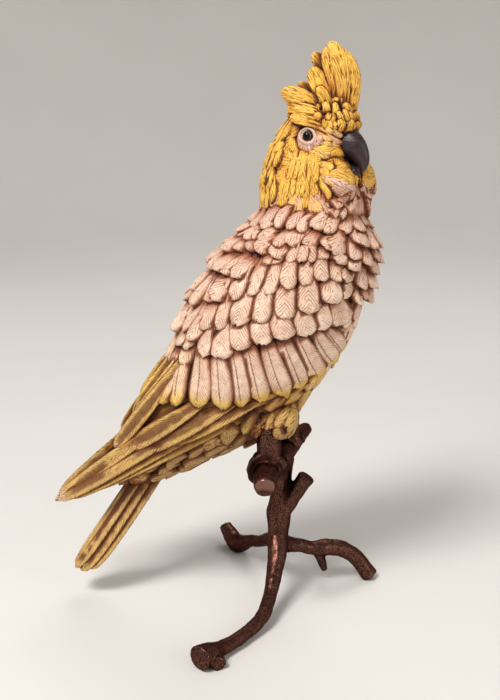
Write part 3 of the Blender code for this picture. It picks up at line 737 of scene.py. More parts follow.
def add_rows(mesh, snap, lay, rows, tilt):
    """Rows of feathers on one side of the bird, each over the roots of the row below it.

    Snap finds where they start and end as seen from the side, and lay the surface between.
    """
    for roots, tips, count, width, thick, yellow in rows:
        for i in range(count):
            at = min(max((i + wobble(0.12)) / (count - 1), 0.0), 1.0)
            rx, rz = smooth(roots, at)
            tx, tz = smooth(tips, at)
            tx, tz = tx + wobble(0.8), tz + wobble(0.9)
            ends = [snap(Vector((x, 0, z)))[0] for x, z in ((rx, rz), (tx, tz))]
            back = 0.35 * step(0.55, 1.0, at)
            paint = plain(min(1.0, yellow + back * 0.3))
            if yellow > YELLOW_TIPS_OVER:
                paint = lambda a, back=back, yellow=yellow: back + (yellow - back) * step(0.72, 0.94, a)
            wide = width * CHANCE.uniform(0.88, 1.12)
            high = 2.2 * CHANCE.uniform(0.7, 1.3)
            add_feather(
                mesh, lay, *ends, wide, thick, high, paint,
                tilt=tilt * CHANCE.uniform(0.5, 1.4), blunt=CHANCE.uniform(0.66, 0.78), bend=wobble(0.9),
            )


def add_thigh_feathers(mesh, snap):
    """Rings of short feathers that hang round each thigh."""
    x, out, z = THIGH_AT
    for up, count, length, width in THIGH_ROWS:
        level = math.sqrt(1 - (up / THIGH_SIZE[2]) ** 2)
        for side in (-1, 1):
            for i in range(count):
                turn = math.tau * (i + wobble(0.3)) / count
                aside = out + THIGH_SIZE[1] * level * math.sin(turn)
                root = Vector((x + THIGH_SIZE[0] * level * math.cos(turn), side * aside, z + up))
                tip = root + Vector((CHANCE.uniform(-4, -1), 0, -length))
                add_feather(
                    mesh, snap, snap(root)[0], snap(tip)[0], width * CHANCE.uniform(0.8, 1.2), 1.2, 1.2,
                    plain(THIGH_YELLOW), tilt=wobble(0.5), bend=wobble(0.8),
                )


def add_wing_blades(mesh, side):
    for (rx, rz), (tx, tz), root_out, tip_out, width, thick in WING_BLADES:
        ends = [Vector((rx, side * root_out, rz)), Vector((tx, side * tip_out, tz))]
        middle = (ends[0] + ends[1]) / 2 + Vector((0, side * 2.5, 0))
        face = Vector((-0.15, side, 0.35))
        rings = blade_rings([ends[0], middle, ends[1]], width, thick, face, 24, 2.0)
        loft(mesh, rings, 24, lambda a: 0.75 - 0.6 * step(0.9, 0.98, a), CHANCE.random(), rib=0.5)


def add_tail(mesh):
    for root, tip, width, thick, lean in TAIL:
        root, tip = Vector(root), Vector(tip)
        run = (tip - root).normalized()
        up = Vector((0, 1, 0)).cross(run).normalized()
        face = Matrix.Rotation(math.radians(lean), 3, run) @ (up if up.z > 0 else -up)
        rings = blade_rings([root, (root + tip) / 2, tip], width, thick, face, 24, 2.0)
        loft(mesh, rings, 24, plain(0.7), CHANCE.random(), rib=0.5)


def add_crest(mesh):
    for root, middle, tip, width, thick in CREST:
        face = Vector((0.25, -1, 0.1))
        rings = blade_rings([Vector(root), Vector(middle), Vector(tip)], width, thick, face, 22, 1.7)
        loft(mesh, rings, 28, plain(1.0), CHANCE.random(), rib=0.25, ruffle=0.35)


def add_brow_tufts(mesh):
    """Short curls round the foot of the crest, bent up and in over it."""
    for reach, foot, high, count, first, last in BROW_TUFTS:
        for i in range(count):
            turn = math.radians(first + (last - first) * (i + CHANCE.uniform(0.2, 0.8)) / count)
            lean = turn + wobble(0.25)
            spots = []
            for out, up, way in ((-1.5, 0.0, turn), (1.0, 0.5, (turn + lean) / 2), (-0.4, 1.0, lean)):
                far = reach + out + wobble(0.7)
                rise = foot + wobble(0.8) + up * high * CHANCE.uniform(0.8, 1.25)
                spots.append(head_point(far * math.cos(way), far * math.sin(way) * 0.85, rise))
            face = head_point(math.cos(turn), math.sin(turn), 0) - head_point(0, 0, 0)
            rings = blade_rings(spots, CHANCE.uniform(2.8, 4.6), CHANCE.uniform(2.4, 3.4), face, 9, 2.2)
            loft(mesh, rings, 12, plain(1.0), CHANCE.random(), ruffle=0.3)


def head_tint(place):
    """The yellow of a head feather that ends at a place."""
    forward = (Matrix.Rotation(-HEAD_YAW, 3, "Z") @ (place - HEAD_AT)).x
    edge = YELLOW_FROM + YELLOW_RISE * step(14, 23, forward)
    return step(edge - 3, edge + 4, place.z)


def add_face_feathers(mesh, head):
    """Rings of feathers round each ear, which grow from small to large."""
    on_head = nearest_on(head)
    eyes = [head_point(EYE_AT[0], side * EYE_AT[1], EYE_AT[2]) for side in (-1, 1)]
    for near, far, first, last, count, width, thick, lift in FACE_ROWS:
        for side in (-1, 1):
            for i in range(count):
                turn = nth_turn(first, last, i, count, 0.3)
                near_here, far_here = near + wobble(1.2), far + wobble(1.6)
                root = head_spot(head, side, turn, near_here)
                tip = head_spot(head, side, turn - 0.12 * math.sin(turn), far_here)
                if min((place - eye).length for place in (root, tip) for eye in eyes) > EYE_CLEAR:
                    add_feather(
                        mesh, on_head, root, tip, width * CHANCE.uniform(0.85, 1.2), thick,
                        lift * CHANCE.uniform(0.7, 1.2), plain(head_tint(tip)),
                        tilt=wobble(0.5), along=8, blunt=0.5 + 0.027 * width,
                        bend=side * CHANCE.uniform(0.2, 1.6),
                    )


def add_patch_feathers(mesh, head):
    """Patches of small feathers on the brow, before and behind the eye, on the ear and on the throat."""
    on_head = nearest_on(head)
    for first_root, last_root, first_tip, last_tip, count, width, tint in HEAD_PATCHES:
        for side in (-1, 1):
            for i in range(count):
                at = i / (count - 1)
                ends = []
                for (turn, up), (last_turn, last_up) in ((first_root, last_root), (first_tip, last_tip)):
                    turn = math.radians(turn + (last_turn - turn) * at + wobble(1.5))
                    height = up + (last_up - up) * at + wobble(0.5)
                    ends.append(around_head(head, side * turn, height))
                add_feather(
                    mesh, on_head, *ends, width, 1.4, 0.9, plain(tint),
                    tilt=wobble(0.4), across=4, blunt=0.6, bend=wobble(0.8),
                )


def add_crown_feathers(mesh, head):
    """Rings of feathers down the back of the head, which swirl away from its middle."""
    on_head = nearest_on(head)
    for up, count, length, width in CROWN_ROWS:
        for i in range(count):
            turn = nth_turn(*CROWN_TURNS, i, count, 0.3)
            high, low = up + wobble(1), up - length * CHANCE.uniform(0.85, 1.15)
            swirl = CROWN_SWIRL * math.copysign(1, math.pi - turn)
            root = around_head(head, turn + swirl, high)
            tip = around_head(head, turn, low)
            add_feather(
                mesh, on_head, root, tip, width * CHANCE.uniform(0.85, 1.2), 2.0,
                CHANCE.uniform(1.6, 2.8), plain(head_tint(tip)),
                tilt=wobble(0.6), across=4, along=8, blunt=0.55, bend=wobble(1.2),
            )


def bill_rings(rows, count):
    """Rings of one half of the bill, square to its run."""
    turn = Matrix.Rotation(HEAD_YAW, 3, "Z")
    rings = []
    for i in range(count):
        t = i / (count - 1)
        forward, up, high, wide = smooth(rows, t)
        ahead = [p - q for p, q in zip(smooth(rows, min(t + 0.05, 1)), smooth(rows, max(t - 0.05, 0)))]
        run = Vector((ahead[0], 0, ahead[1])).normalized()
        rise = turn @ Vector((-run.z, 0, run.x))
        rings.append((head_point(forward, 0, up), rise * high, turn @ Vector((0, wide, 0))))
    return rings


# Objects


def clear_of_perch(mesh):
    """Moves what lies in the room of the perch and the toes out to its edge."""
    points = [flat(row) for row in PERCH]
    line = [Vector(smooth(points, i / 40)[:3]) for i in range(41)]
    for vert in mesh.verts:
        if vert.co.z >= NEAR_PERCH_UNDER or vert.co.x <= NEAR_PERCH_AHEAD:
            continue
        near = min(line, key=lambda place: (place - vert.co).length_squared)
        away = vert.co - near
        if away.length < PERCH_CLEARANCE and near not in (line[0], line[-1]):
            vert.co = near + away.normalized() * PERCH_CLEARANCE


def object_of(mesh, name, finish):
    """An object in metres, standing at the figurine's own place, from a mesh in millimetres."""
    bmesh.ops.recalc_face_normals(mesh, faces=mesh.faces)
    bmesh.ops.transform(mesh, matrix=Matrix.Scale(MM, 4) @ Matrix.Translation(AXIS_AT), verts=mesh.verts)
    data = bpy.data.meshes.new(name)
    mesh.to_mesh(data)
    mesh.free()
    data.shade_smooth()
    data.materials.append(finish)
    made = bpy.data.objects.new(name, data)
    bpy.context.scene.collection.objects.link(made)
    return made


def cast(made, grain, even):
    """Fuses the overlapping forms of an object into one skin with an even grain."""
    remesh = made.modifiers.new("cast", "REMESH")
    remesh.mode = "VOXEL"
    remesh.voxel_size = grain * MM
    remesh.use_smooth_shade = True
    soften = made.modifiers.new("soften", "SMOOTH")
    soften.factor = 0.5
    soften.iterations = even
    graph = bpy.context.evaluated_depsgraph_get()
    fused = bpy.data.meshes.new_from_object(made.evaluated_get(graph))
    made.modifiers.clear()
    old = made.data
    fused.materials.clear()
    fused.materials.append(old.materials[0])
    made.data = fused
    fused.name = made.name
    bpy.data.meshes.remove(old)
    return made


def mark_hollows(pieces, reach=0.009, count=14):
    """Gives each point the share of the room in front of it that other forms close off."""
    points, faces = [], []
    for piece in pieces:
        start = len(points)
        points += [vert.co.copy() for vert in piece.data.vertices]
        faces += [[start + i for i in face.vertices] for face in piece.data.polygons]
    tree = BVHTree.FromPolygons(points, faces)
    ways = []
    for i in range(count):
        up = 0.12 + 0.85 * (i + 0.5) / count
        around = i * math.pi * (3 - math.sqrt(5))
        level = math.sqrt(1 - up * up)
        ways.append(Vector((level * math.cos(around), level * math.sin(around), up)))
    for piece in pieces:
        shut = []
        for vert in piece.data.vertices:
            turn = Vector((0, 0, 1)).rotation_difference(vert.normal)
            start = vert.co + vert.normal * 0.0004
            closed = 0.0
            for way in ways:
                far = tree.ray_cast(start, turn @ way, reach)[3]
                closed += 0.0 if far is None else 1 - 0.6 * far / reach
            shut.append(closed / count)
        piece.data.attributes.new("hollow", "FLOAT", "POINT").data.foreach_set("value", shut)


# The paint


def tone(red, green, blue):
    """A colour written as it shows on a screen, from 0 to 255, in the shader's own numbers."""
    return (*(((c / 255 + 0.055) / 1.055) ** 2.4 if c > 10 else c / 3294.6 for c in (red, green, blue)), 1)


class Link:
    """A socket in a material's nodes, on which arithmetic adds Math nodes."""

    def __init__(self, tree, socket):
        self.tree, self.socket = tree, socket

    def make(self, kind, settings, inputs, out=0):
        """A node of a kind, with its settings and then its sockets, which take values or other links."""
        node = self.tree.nodes.new(kind)
        for name, value in settings.items():
            setattr(node, name, value)
        for key, value in inputs.items():
            if isinstance(value, Link):
                self.tree.links.new(value.socket, node.inputs[key])
            else:
                node.inputs[key].default_value = value
        return Link(self.tree, node.outputs[out])

    def maths(self, operation, *values):
        """A Math node on values or links."""
        return self.make("ShaderNodeMath", {"operation": operation}, dict(enumerate(values)))

    def __add__(self, other):
        return self.maths("ADD", self, other)

    def __radd__(self, other):
        return self.maths("ADD", other, self)

    def __sub__(self, other):
        return self.maths("SUBTRACT", self, other)

    def __rsub__(self, other):
        return self.maths("SUBTRACT", other, self)

    def __mul__(self, other):
        return self.maths("MULTIPLY", self, other)

    def __rmul__(self, other):
        return self.maths("MULTIPLY", other, self)

    def __truediv__(self, other):
        return self.maths("DIVIDE", self, other)

    def __abs__(self):
        return self.maths("ABSOLUTE", self)

    def fraction(self):
        return self.maths("FRACT", self)

    def rise(self, low, high):
        """0 below low and 1 above high, with a smooth rise between them."""
        settings = {"interpolation_type": "SMOOTHSTEP"}
        return self.make("ShaderNodeMapRange", settings, {0: self, 1: low, 2: high})

    def grain(self, scale, detail=3.0, rough=0.55):
        """Noise on this link's place, from 0 to 1."""
        sockets = {"Vector": self, "Scale": scale, "Detail": detail, "Roughness": rough}
        return self.make("ShaderNodeTexNoise", {}, sockets)

    def stretched(self, size):
        """This link's place, scaled along each axis."""
        return self.make("ShaderNodeMapping", {}, {"Vector": self, "Scale": size})

    def axis(self, number):
        """One coordinate of this link's place: 0 for X, 1 for Y and 2 for Z."""
        return self.make("ShaderNodeSeparateXYZ", {}, {"Vector": self}, out=number)

    def blend(self, first, second, how="MIX"):
        """The first colour where this link is 0, and the second where it is 1."""
        settings = {"data_type": "RGBA", "blend_type": how}
        return self.make("ShaderNodeMix", settings, {0: self, 6: first, 7: second}, out=2)


def new_finish(name):
    """A material with its shader and a link to the place on the object in millimetres."""
    made = bpy.data.materials.new(name)
    made.use_nodes = True
    tree = made.node_tree
    shader = tree.nodes["Principled BSDF"]
    here = Link(tree, tree.nodes.new("ShaderNodeTexCoord").outputs["Object"])
    return made, shader, here.stretched((1 / MM, 1 / MM, 1 / MM))


def read(link, name):
    """A number that the mesh carries on its points."""
    return link.make("ShaderNodeAttribute", {"attribute_name": name}, {}, out="Fac")


def wear(link, shader, **sockets):
    """Joins links to the shader's sockets."""
    for name, value in sockets.items():
        link.tree.links.new(value.socket, shader.inputs[name.replace("_", " ")])


def feather_paint(name, slant, spacing, shaft, yellows, core=0.0, under=0.2):
    """Paint over incised barbs. Slant is the barbs' turn from the shaft in degrees, and spacing is in mm.

    Shaft is the strength of the dark line down the middle, core that of the brown round it, and under that of
    the painted shade, in brown, low on the bird. Yellows are the five colours of PALE or GOLD.
    """
    made, shader, here = new_finish(name)
    across, along, share = read(here, "across"), read(here, "along"), read(here, "share")
    yellow, seed, rim = read(here, "yellow"), read(here, "seed"), read(here, "rim")
    hollow = read(here, "hollow")
    turn = math.radians(slant)
    wander = here.grain(0.22, 2.0)
    phase = (abs(across) * math.cos(turn) - along * math.sin(turn)) / spacing + wander * 1.6 + seed * 9.0
    ridge = abs(phase.fraction() - 0.5) * 2
    deep = here.grain(0.33, 3.0).rise(0.34, 0.6)
    cut = ridge.rise(0.62, 0.98) * deep
    middle = (1 - abs(across).rise(0.15, 0.55)) * share.rise(0.02, 0.2) * (1 - share.rise(0.8, 0.98)) * shaft
    patch = here.grain(0.12, 4.0, 0.6)
    fine = here.grain(1.6, 3.0, 0.7)
    gold = (yellow + (patch - 0.5) * 0.5).rise(0.12, 0.85)
    cream = patch.rise(0.35, 0.7).blend(tone(216, 168, 136), tone(246, 214, 186))
    dark, light, brushed, browned, grooves = [tone(*colour) for colour in yellows]
    colour = gold.blend(cream, patch.rise(0.3, 0.7).blend(dark, light))
    high = here.axis(2)
    neck = high.rise(182, 202) * (1 - high.rise(228, 240)) * patch.rise(0.3, 0.6) * 0.5
    brown = here.grain(0.03, 3.0).rise(0.42, 0.68) * 0.35 + (1 - share).rise(0.3, 1.0) * 0.45
    brown = brown + neck * (1 - gold)
    # Painted shade in brown low on the bird, on the belly and thighs under the wings, as strong as under
    brown = brown + (1 - high.rise(90, 132)) * (under + patch.rise(0.3, 0.7) * 0.35)
    colour = brown.blend(colour, gold.blend(tone(186, 120, 86), browned))
    # Pale dry-brushed paint and painted highlight, where nothing closes the surface in
    dry_brush_and_highlight = hollow.rise(0.16, 0.02) * (1 - cut) * fine.rise(0.35, 0.6) * 0.45
    colour = dry_brush_and_highlight.blend(colour, gold.blend(tone(250, 234, 218), brushed))
    wash = gold.blend(tone(124, 62, 36), grooves)
    # The wash pooled in the recesses together with painted shade, darker where other forms close the surface
    # in
    wash_and_painted_shade = (hollow + (patch - 0.5) * 0.2).rise(0.07, 0.38)
    colour = (wash_and_painted_shade * 0.94).blend(colour, wash)
    if core:
        streak = (1 - rim + (patch - 0.5) * 0.8).rise(0.3, 0.7) * here.grain(0.06, 3.0).rise(0.32, 0.48)
        streak = streak * share.rise(0.02, 0.2) * (1 - share.rise(0.84, 0.96))
        colour = (streak * core).blend(colour, tone(104, 50, 16))
    lines = (cut * 0.72 + middle * 0.8 + rim.rise(0.8, 1.0) * 0.5) * (0.75 + 0.25 * fine)
    colour = lines.rise(0.0, 1.0).blend(colour, wash)
    # Painted shade, near black, where other forms close the surface in most
    painted_deep_shade = hollow.rise(0.42, 0.76)
    colour = painted_deep_shade.blend(colour, tone(44, 24, 15))
    specks = here.grain(2.3, 2.0).rise(0.69, 0.73) * 0.5
    colour = specks.blend(colour, tone(84, 50, 26))
    rough = 0.5 + fine * 0.2 + wash_and_painted_shade * 0.1
    height = (1 - cut) * 0.8 - middle * 0.7 + fine * 0.16
    bump = here.make("ShaderNodeBump", {}, {"Strength": 0.9, "Distance": 0.0005, "Height": height})
    wear(here, shader, Base_Color=colour, Roughness=rough, Normal=bump)
    shader.inputs["Specular IOR Level"].default_value = 0.4
    return made


def skin_paint():
    """The brown wash between the feathers, with painted shade where other forms close it in."""
    made, shader, here = new_finish("wash_and_painted_shade_between_feathers")
    fine = here.grain(0.9, 4.0, 0.6)
    patch = here.grain(0.1, 3.0)
    colour = patch.rise(0.4, 0.6).blend(tone(138, 88, 62), tone(126, 76, 40))
    # Painted shade, dark brown, where other forms close the skin in
    colour = read(here, "hollow").rise(0.25, 0.7).blend(colour, tone(50, 27, 17))
    bump = here.make("ShaderNodeBump", {}, {"Strength": 0.7, "Distance": 0.0006, "Height": fine})
    wear(here, shader, Base_Color=colour, Roughness=0.5 + fine * 0.2, Normal=bump)
    return made


def horn_paint():
    """Dark streaked horn, which is matt where the bill's halves meet and has painted shade in black there."""
    made, shader, here = new_finish("bill_horn")
    streak = here.stretched((0.5, 0.5, 2.2)).grain(0.5, 4.0, 0.6)
    patch = here.grain(0.2, 3.0)
    colour = (streak * 0.5 + patch * 0.5).rise(0.35, 0.7).blend(tone(26, 15, 17), tone(62, 40, 44))
    # Painted shade, near black, where the bill's halves close each other in
    painted_mouth_shade = read(here, "hollow").rise(0.3, 0.6)
    colour = painted_mouth_shade.blend(colour, tone(16, 9, 9))
    bump = here.make("ShaderNodeBump", {}, {"Strength": 0.5, "Distance": 0.0004, "Height": streak})
    wear(here, shader, Base_Color=colour, Roughness=0.26 + streak * 0.2 + painted_mouth_shade * 0.4, Normal=bump)
    return made


def patina_finish():
    """Waxed dark patina, worn brighter on the ridges and on the perch's cut end."""
    made, shader, here = new_finish("brown_patina_finish")
    patch = here.grain(0.07, 4.0, 0.6)
    vein = here.stretched((1.0, 1.0, 0.35)).grain(0.45, 4.0, 0.62)
    fine = here.grain(1.8, 3.0)
    hollow = read(here, "hollow")
    colour = patch.rise(0.35, 0.68).blend(tone(28, 15, 12), tone(58, 31, 23))
    colour = (vein.rise(0.48, 0.72) * 0.7).blend(colour, tone(22, 12, 10))
    colour = (hollow.rise(0.14, 0.0) * fine.rise(0.4, 0.62) * 0.4).blend(colour, tone(168, 118, 102))
    worn = (1 - here.axis(1).rise(*PERCH_END)) * here.axis(2).rise(55, 65)
    colour = (worn * (0.5 + fine * 0.5)).blend(colour, tone(142, 104, 94))
    colour = hollow.rise(0.2, 0.7).blend(colour, tone(24, 13, 11))
    rough = 0.2 + vein * 0.2 + fine * 0.08
    height = vein * 0.8 + fine * 0.2
    bump = here.make("ShaderNodeBump", {}, {"Strength": 0.45, "Distance": 0.0005, "Height": height})
    wear(here, shader, Base_Color=colour, Roughness=rough, Normal=bump)
    shader.inputs["Metallic"].default_value = 0.88
    shader.inputs["Specular Tint"].default_value = tone(150, 100, 84)
    return made


def bare_skin_paint():
    """The pale skin round the eye, with radial creases and a dark line round the eye's ring."""
    made, shader, here = new_finish("bare_eye_skin")
    ring, around = read(here, "across"), read(here, "along")
    fine = here.grain(1.4, 3.0)
    crease = abs((around * 26 + fine * 0.8).fraction() - 0.5) * 2
    lash = crease.rise(0.55, 0.95) * ring.rise(0.4, 0.5) * (1 - ring.rise(0.62, 0.75))
    lash = lash * read(here, "share").rise(0.2, 0.7)
    lid, over = read(here, "seed"), read(here, "yellow")
    colour = here.grain(0.3, 3.0).rise(0.4, 0.65).blend(tone(202, 156, 134), tone(226, 190, 170))
    colour = ((ring + fine * 0.3).rise(0.66, 0.95) * 0.85).blend(colour, tone(196, 128, 58))
    colour = (lash * 0.7).blend(colour, tone(118, 70, 48))
    colour = (ring.rise(0.42, 0.56) * over.rise(0.1, 0.5) * 0.95).blend(colour, tone(58, 32, 18))
    colour = (lid.rise(0.3, 0.9) * 0.7).blend(colour, tone(212, 180, 164))
    # Painted shade where other forms close the skin in
    colour = read(here, "hollow").rise(0.2, 0.6).blend(colour, tone(92, 50, 34))
    height = fine * 0.3 - lash
    bump = here.make("ShaderNodeBump", {}, {"Strength": 0.7, "Distance": 0.0004, "Height": height})
    wear(here, shader, Base_Color=colour, Roughness=0.42 + fine * 0.15, Normal=bump)
    return made


def eye_paint():
    """A black pupil in a grey-brown iris with a pale rim, under a gloss coat."""
    made, shader, here = new_finish("painted_eye")
    reach = read(here, "across")
    fine = here.grain(2.4, 2.0)
    colour = (reach + fine * 0.04).rise(0.66, 0.72).blend(tone(5, 4, 4), tone(26, 18, 15))
    colour = reach.rise(0.84, 0.88).blend(colour, tone(104, 88, 80))
    colour = reach.rise(0.9, 0.95).blend(colour, tone(44, 27, 22))
    wear(here, shader, Base_Color=colour, Roughness=0.1 + fine * 0.05)
    shader.inputs["Specular IOR Level"].default_value = 0.1
    shader.inputs["Coat Weight"].default_value = 0.22
    shader.inputs["Coat Roughness"].default_value = 0.05
    return made


# The pieces


def dress(piece, node):
    """Puts a finished piece on its body and hides the imported part of the node that it stands for."""
    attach(piece, "root")
    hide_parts(node)
    return piece


def make_skin():
    """The body and head under the feathers."""
    mesh = bmesh.new()
    add_torso(mesh)
    add_thighs(mesh)
    add_head(mesh)
    add_cheeks(mesh)
    return cast(object_of(mesh, "body_core", skin_paint()), SKIN_GRAIN, 3)


def make_eye_skin(head, finish):
    """A round of bare skin on each side of the head, with a ring round the eye and a fold before it."""
    mesh = marked_mesh()
    forward, aside, up = EYE_AT
    ring_radius, ring_wide, ring_high = EYE_RING
    fold_ahead, fold_up, fold_high = EYE_FOLD
    count = 18
    for side in (-1, 1):
        centre = head_point(forward, side * aside, up)
        out = (centre - head_point(forward - 2, 0, up)).normalized()
        ahead = Vector((0, 0, 1)).cross(out).normalized() * -side
        rise = out.cross(ahead).normalized()
        rise = rise if rise.z > 0 else -rise
        loops = []
        for n in range(count):
            r = EYE_OPEN + (1 - EYE_OPEN) * n / (count - 1)
            made = bmesh.ops.create_circle(mesh, segments=40, radius=1.0)
            loops.append({e for vert in made["verts"] for e in vert.link_edges})
            for vert in made["verts"]:
                turn = math.atan2(vert.co.y, vert.co.x)
                level = EYE_SKIN_LEVEL[0 if math.cos(turn) > 0 else 1]
                upright = EYE_SKIN_UPRIGHT[0 if math.sin(turn) > 0 else 1]
                flow = centre + (ahead * math.cos(turn) * level + rise * math.sin(turn) * upright) * r
                ring = ((flow - centre).length - ring_radius) / ring_wide
                place, normal, _, _ = head.find_nearest(flow)
                lid = ring_high * math.exp(-ring * ring)
                before = (flow - centre).dot(ahead) - fold_ahead
                over = (flow - centre).dot(rise) - fold_up
                fold = fold_high * math.exp(-(before * before / 6 + over * over / 4))
                sunk = -1.6 * step(0.6, 1.0, r)
                vert.co = place + normal * (0.9 + lid + fold + sunk)
                below, above = max(0.0, -math.sin(turn)), max(0.0, math.sin(turn))
                mark(mesh, vert, across=r, along=turn / math.tau + 0.5, share=below)
                mark(mesh, vert, yellow=above, seed=lid / ring_high)
        for first, second in zip(loops, loops[1:]):
            bmesh.ops.bridge_loops(mesh, edges=list(first | second))
    return object_of(mesh, "eye_skin", finish)


def make_eyes(finish):
    """Two balls, marked with the distance from their middle as seen from the side."""
    mesh = marked_mesh()
    forward, aside, up = EYE_AT
    for side in (-1, 1):
        centre = head_point(forward, side * (aside - 0.2), up)
        out = (centre - head_point(forward - 2, 0, up)).normalized()
        made = bmesh.ops.create_uvsphere(mesh, u_segments=28, v_segments=20, radius=EYE_RADIUS)
        for vert in made["verts"]:
            vert.co += centre
            facing = max(0.0, (vert.co - centre).normalized().dot(out))
            mark(mesh, vert, across=min(1.0, math.sqrt(max(0.0, 1 - facing**2)) * 1.08))
    return object_of(mesh, "eyes", finish)


def make_bill(finish):
    mesh = marked_mesh()
    loft(mesh, bill_rings(UPPER_BILL, 22), 24, plain(0.0))
    loft(mesh, bill_rings(LOWER_BILL, 12), 20, plain(0.0))
    return object_of(mesh, "bill", finish)


def perch_at(y):
    """The perch's middle, run and radius where it crosses y."""
    points = [flat(row) for row in PERCH]
    steps = 200
    best = min(range(steps + 1), key=lambda i: abs(smooth(points, i / steps)[1] - y))
    here = Vector(smooth(points, best / steps)[:3])
    run = Vector(smooth(points, min(best / steps + 0.02, 1))[:3]) - here
    return here, run.normalized(), smooth(points, best / steps)[3]


def add_limb(mesh, limb):
    """One round limb of the branch, as the table gives it."""
    rows = [flat(row) for row in limb]
    made, count = [], 30
    for i in range(count):
        t = i / (count - 1)
        x, y, z, radius = smooth(rows, t)
        ahead = Vector(smooth(rows, min(t + 0.03, 1))[:3]) - Vector(smooth(rows, max(t - 0.03, 0))[:3])
        side = ahead.cross(Vector((0.3, 0.2, 0.9))).normalized()
        made.append((Vector((x, y, z)), side * radius, ahead.cross(side).normalized() * radius))
    loft(mesh, made, LIMB_SIDES)


def rod(mesh, start, end, radius):
    """A straight round rod."""
    run = end - start
    side = run.orthogonal().normalized()
    up = run.cross(side).normalized()
    loft(mesh, [(start, side * radius, up * radius), (end, side * radius, up * radius)], LIMB_SIDES)


def add_foot(mesh, y):
    """Ringed toes bent round the perch, two to each side, with a claw on each, and their ankle."""
    middle, run, radius = perch_at(y)
    side = Vector((1, 0, 0))
    reach = radius + TOE_RADIUS * 0.7
    for along in (-TOE_SPREAD, TOE_SPREAD):
        for way, last in ((1, TOE_TURNS[1]), (-1, -TOE_TURNS[0])):
            rings, count = [], 26
            for i in range(count):
                t = i / (count - 1)
                turn = math.radians(-8 + (last + 20) * t)
                out = side * math.sin(turn) * way + Vector((0, 0, 1)) * math.cos(turn)
                thick = TOE_RADIUS * (1.15 - 0.35 * t) * (1 + 0.07 * math.sin(t * 34))
                if t > 0.82:
                    thick *= 1 - 0.75 * (t - 0.82) / 0.18
                rings.append((middle + run * along + out * reach, out * thick, run * thick))
            loft(mesh, rings, points=12)
    rod(mesh, middle, Vector((middle.x, middle.y, ANKLE_TOP)), ANKLE_RADIUS)


def bark_noise(place, across, up, high):
    return noise.noise(Vector((place.x * across, place.y * across, place.z * up))) * high


def make_stand(finish):
    """The branch with its toes and ankles, fused, with the unevenness of cast bark."""
    mesh = bmesh.new()
    for limb in LIMBS:
        add_limb(mesh, limb)
    for y in FOOT_Y:
        add_foot(mesh, y)
    made = cast(object_of(mesh, "branch", finish), STAND_GRAIN, 2)
    outward = [vert.normal.copy() for vert in made.data.vertices]
    for vert, out in zip(made.data.vertices, outward):
        place = vert.co / MM
        lump = bark_noise(place, *LUMPS)
        ridge = bark_noise(place, *RIDGES)
        moved = vert.co + out * (lump + ridge - 0.1) * MM
        vert.co = (moved.x, moved.y, max(moved.z, 0.0))
    return made


def make_bird():
    """The painted pieces of the bird, laid over its trunk and head."""
    torso, head = bmesh.new(), bmesh.new()
    add_torso(torso)
    add_thighs(torso)
    add_head(head)
    add_cheeks(head)
    on_torso, on_head = surface_of(torso), surface_of(head)
    covert = feather_paint("covert_paint", 34, 1.15, 0.0, PALE)
    great = feather_paint("great_covert_paint", 36, 1.1, 0.8, PALE)
    # The breast and thigh feathers take strong painted shade low on the bird
    down = feather_paint("breast_paint", 24, 1.2, 0.25, PALE, under=0.75)
    quill = feather_paint("quill_paint", 20, 1.1, 0.4, PALE, 0.8)
    tail_quill = feather_paint("tail_paint", 18, 1.1, 0.3, PALE, 0.95)
    hatch = feather_paint("wing_edge_paint", 72, 1.3, 0.0, PALE)
    face = feather_paint("head_paint", 14, 1.0, 0.0, GOLD)
    plume = feather_paint("crest_paint", 8, 1.15, 0.0, GOLD)
    pieces = [make_skin()]
    body = marked_mesh()
    add_trunk_feathers(body, on_torso)
    for side in (-1, 1):
        add_rows(body, sideways_on(on_torso, side), nearest_on(on_torso), BELLY_ROWS, 0.0)
    clear_of_perch(body)
    pieces.append(object_of(body, "body_feathers", down))
    for side, name in ((-1, "right"), (1, "left")):
        plate = bmesh.new()
        add_torso(plate)
        add_wing(plate, on_torso, side)
        on_wing = sideways_on(surface_of(plate), side)
        plate.free()
        base = marked_mesh()
        add_wing(base, on_torso, side)
        pieces.append(object_of(base, f"{name}_wing_base", hatch))
        greater, coverts, quills = marked_mesh(), marked_mesh(), marked_mesh()
        add_rows(greater, on_wing, on_wing, WING_ROWS[:1], 0.9 * side)
        add_rows(coverts, on_wing, on_wing, WING_ROWS[1:], 0.7 * side)
        add_wing_blades(quills, side)
        pieces.append(object_of(greater, f"{name}_great_coverts", great))
        pieces.append(object_of(coverts, f"{name}_wing_coverts", covert))
        pieces.append(object_of(quills, f"{name}_wing_quills", quill))
    tail, crest = marked_mesh(), marked_mesh()
    add_tail(tail)
    add_crest(crest)
    add_brow_tufts(crest)
    pieces.append(object_of(tail, "tail_feathers", tail_quill))
    pieces.append(object_of(crest, "crest", plume))
    faces = marked_mesh()
    add_face_feathers(faces, on_head)
    add_patch_feathers(faces, on_head)
    add_crown_feathers(faces, on_head)
    pieces.append(object_of(faces, "head_feathers", face))
    pieces.append(make_bill(horn_paint()))
    thighs = marked_mesh()
    add_thigh_feathers(thighs, nearest_on(on_torso))
    clear_of_perch(thighs)
    pieces.append(object_of(thighs, "thigh_feathers", down))
    pieces.append(make_eye_skin(on_head, bare_skin_paint()))
    pieces.append(make_eyes(eye_paint()))
    torso.free()
    head.free()
    return pieces


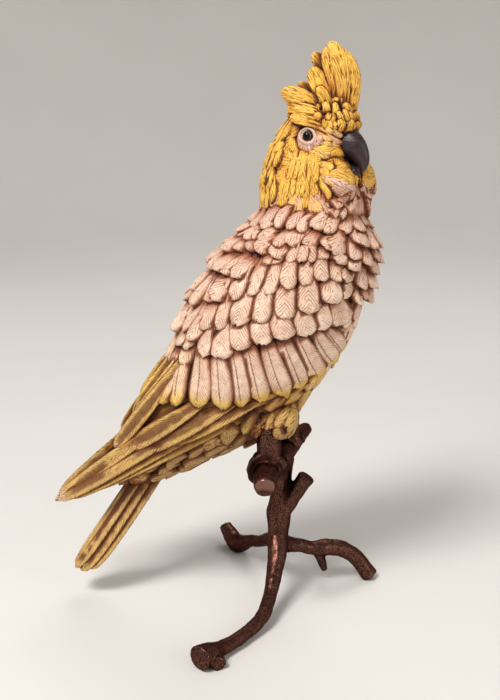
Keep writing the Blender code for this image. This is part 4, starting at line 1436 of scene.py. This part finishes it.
def make_studio():
    """A pale round floor that curves up into a wall, and soft lamps."""
    sweep = bmesh.new()
    loops = []
    for n, (radius, height) in enumerate(STAGE):
        place = Matrix.Translation((0, 0, height))
        made = bmesh.ops.create_circle(sweep, cap_ends=n == 0, segments=48, radius=radius, matrix=place)
        loops.append(list({e for vert in made["verts"] for e in vert.link_edges}))
    for first, second in zip(loops, loops[1:]):
        bmesh.ops.bridge_loops(sweep, edges=first + second)
    data = bpy.data.meshes.new("studio_floor")
    bmesh.ops.recalc_face_normals(sweep, faces=sweep.faces)
    sweep.to_mesh(data)
    sweep.free()
    data.shade_smooth()
    made, shader, here = new_finish("pale_paper")
    patch = here.grain(0.004, 3.0)
    colour = patch.blend(tone(212, 208, 202), tone(222, 218, 212))
    wear(here, shader, Base_Color=colour)
    shader.inputs["Roughness"].default_value = 0.9
    data.materials.append(made)
    floor = bpy.data.objects.new("studio_floor", data)
    bpy.context.scene.collection.objects.link(floor)
    soft = floor.modifiers.new("curve", "SUBSURF")
    soft.levels = soft.render_levels = 2

    for name, (place, size, power) in LAMPS.items():
        lamp = bpy.data.lights.new(name, "AREA")
        lamp.size = size
        lamp.energy = power
        made = bpy.data.objects.new(name, lamp)
        made.location = place
        made.rotation_euler = (LAMPS_AIM - Vector(place)).to_track_quat("-Z", "Y").to_euler()
        bpy.context.scene.collection.objects.link(made)

    world = bpy.data.worlds.new("studio")
    world.use_nodes = True
    light = world.node_tree.nodes["Background"].inputs
    light["Color"].default_value = (1, 1, 1, 1)
    light["Strength"].default_value = WORLD_STRENGTH
    bpy.context.scene.world = world


def make_camera():
    """The camera that took the photo."""
    lens = bpy.data.cameras.new("photo_camera")
    lens.sensor_width = CAMERA_SENSOR
    lens.lens = CAMERA_LENS
    made = bpy.data.objects.new("photo_camera", lens)
    made.location = CAMERA_AT
    made.rotation_euler = (math.radians(CAMERA_TILT), 0, 0)
    bpy.context.scene.collection.objects.link(made)
    bpy.context.scene.camera = made


bpy.context.scene.view_settings.view_transform = "Standard"
make_camera()
make_studio()
branch = make_stand(patina_finish())
bird = make_bird()
mark_hollows([branch, *bird])
dress(branch, "branch_stand")
for piece in bird:
    dress(piece, "cockatoo")
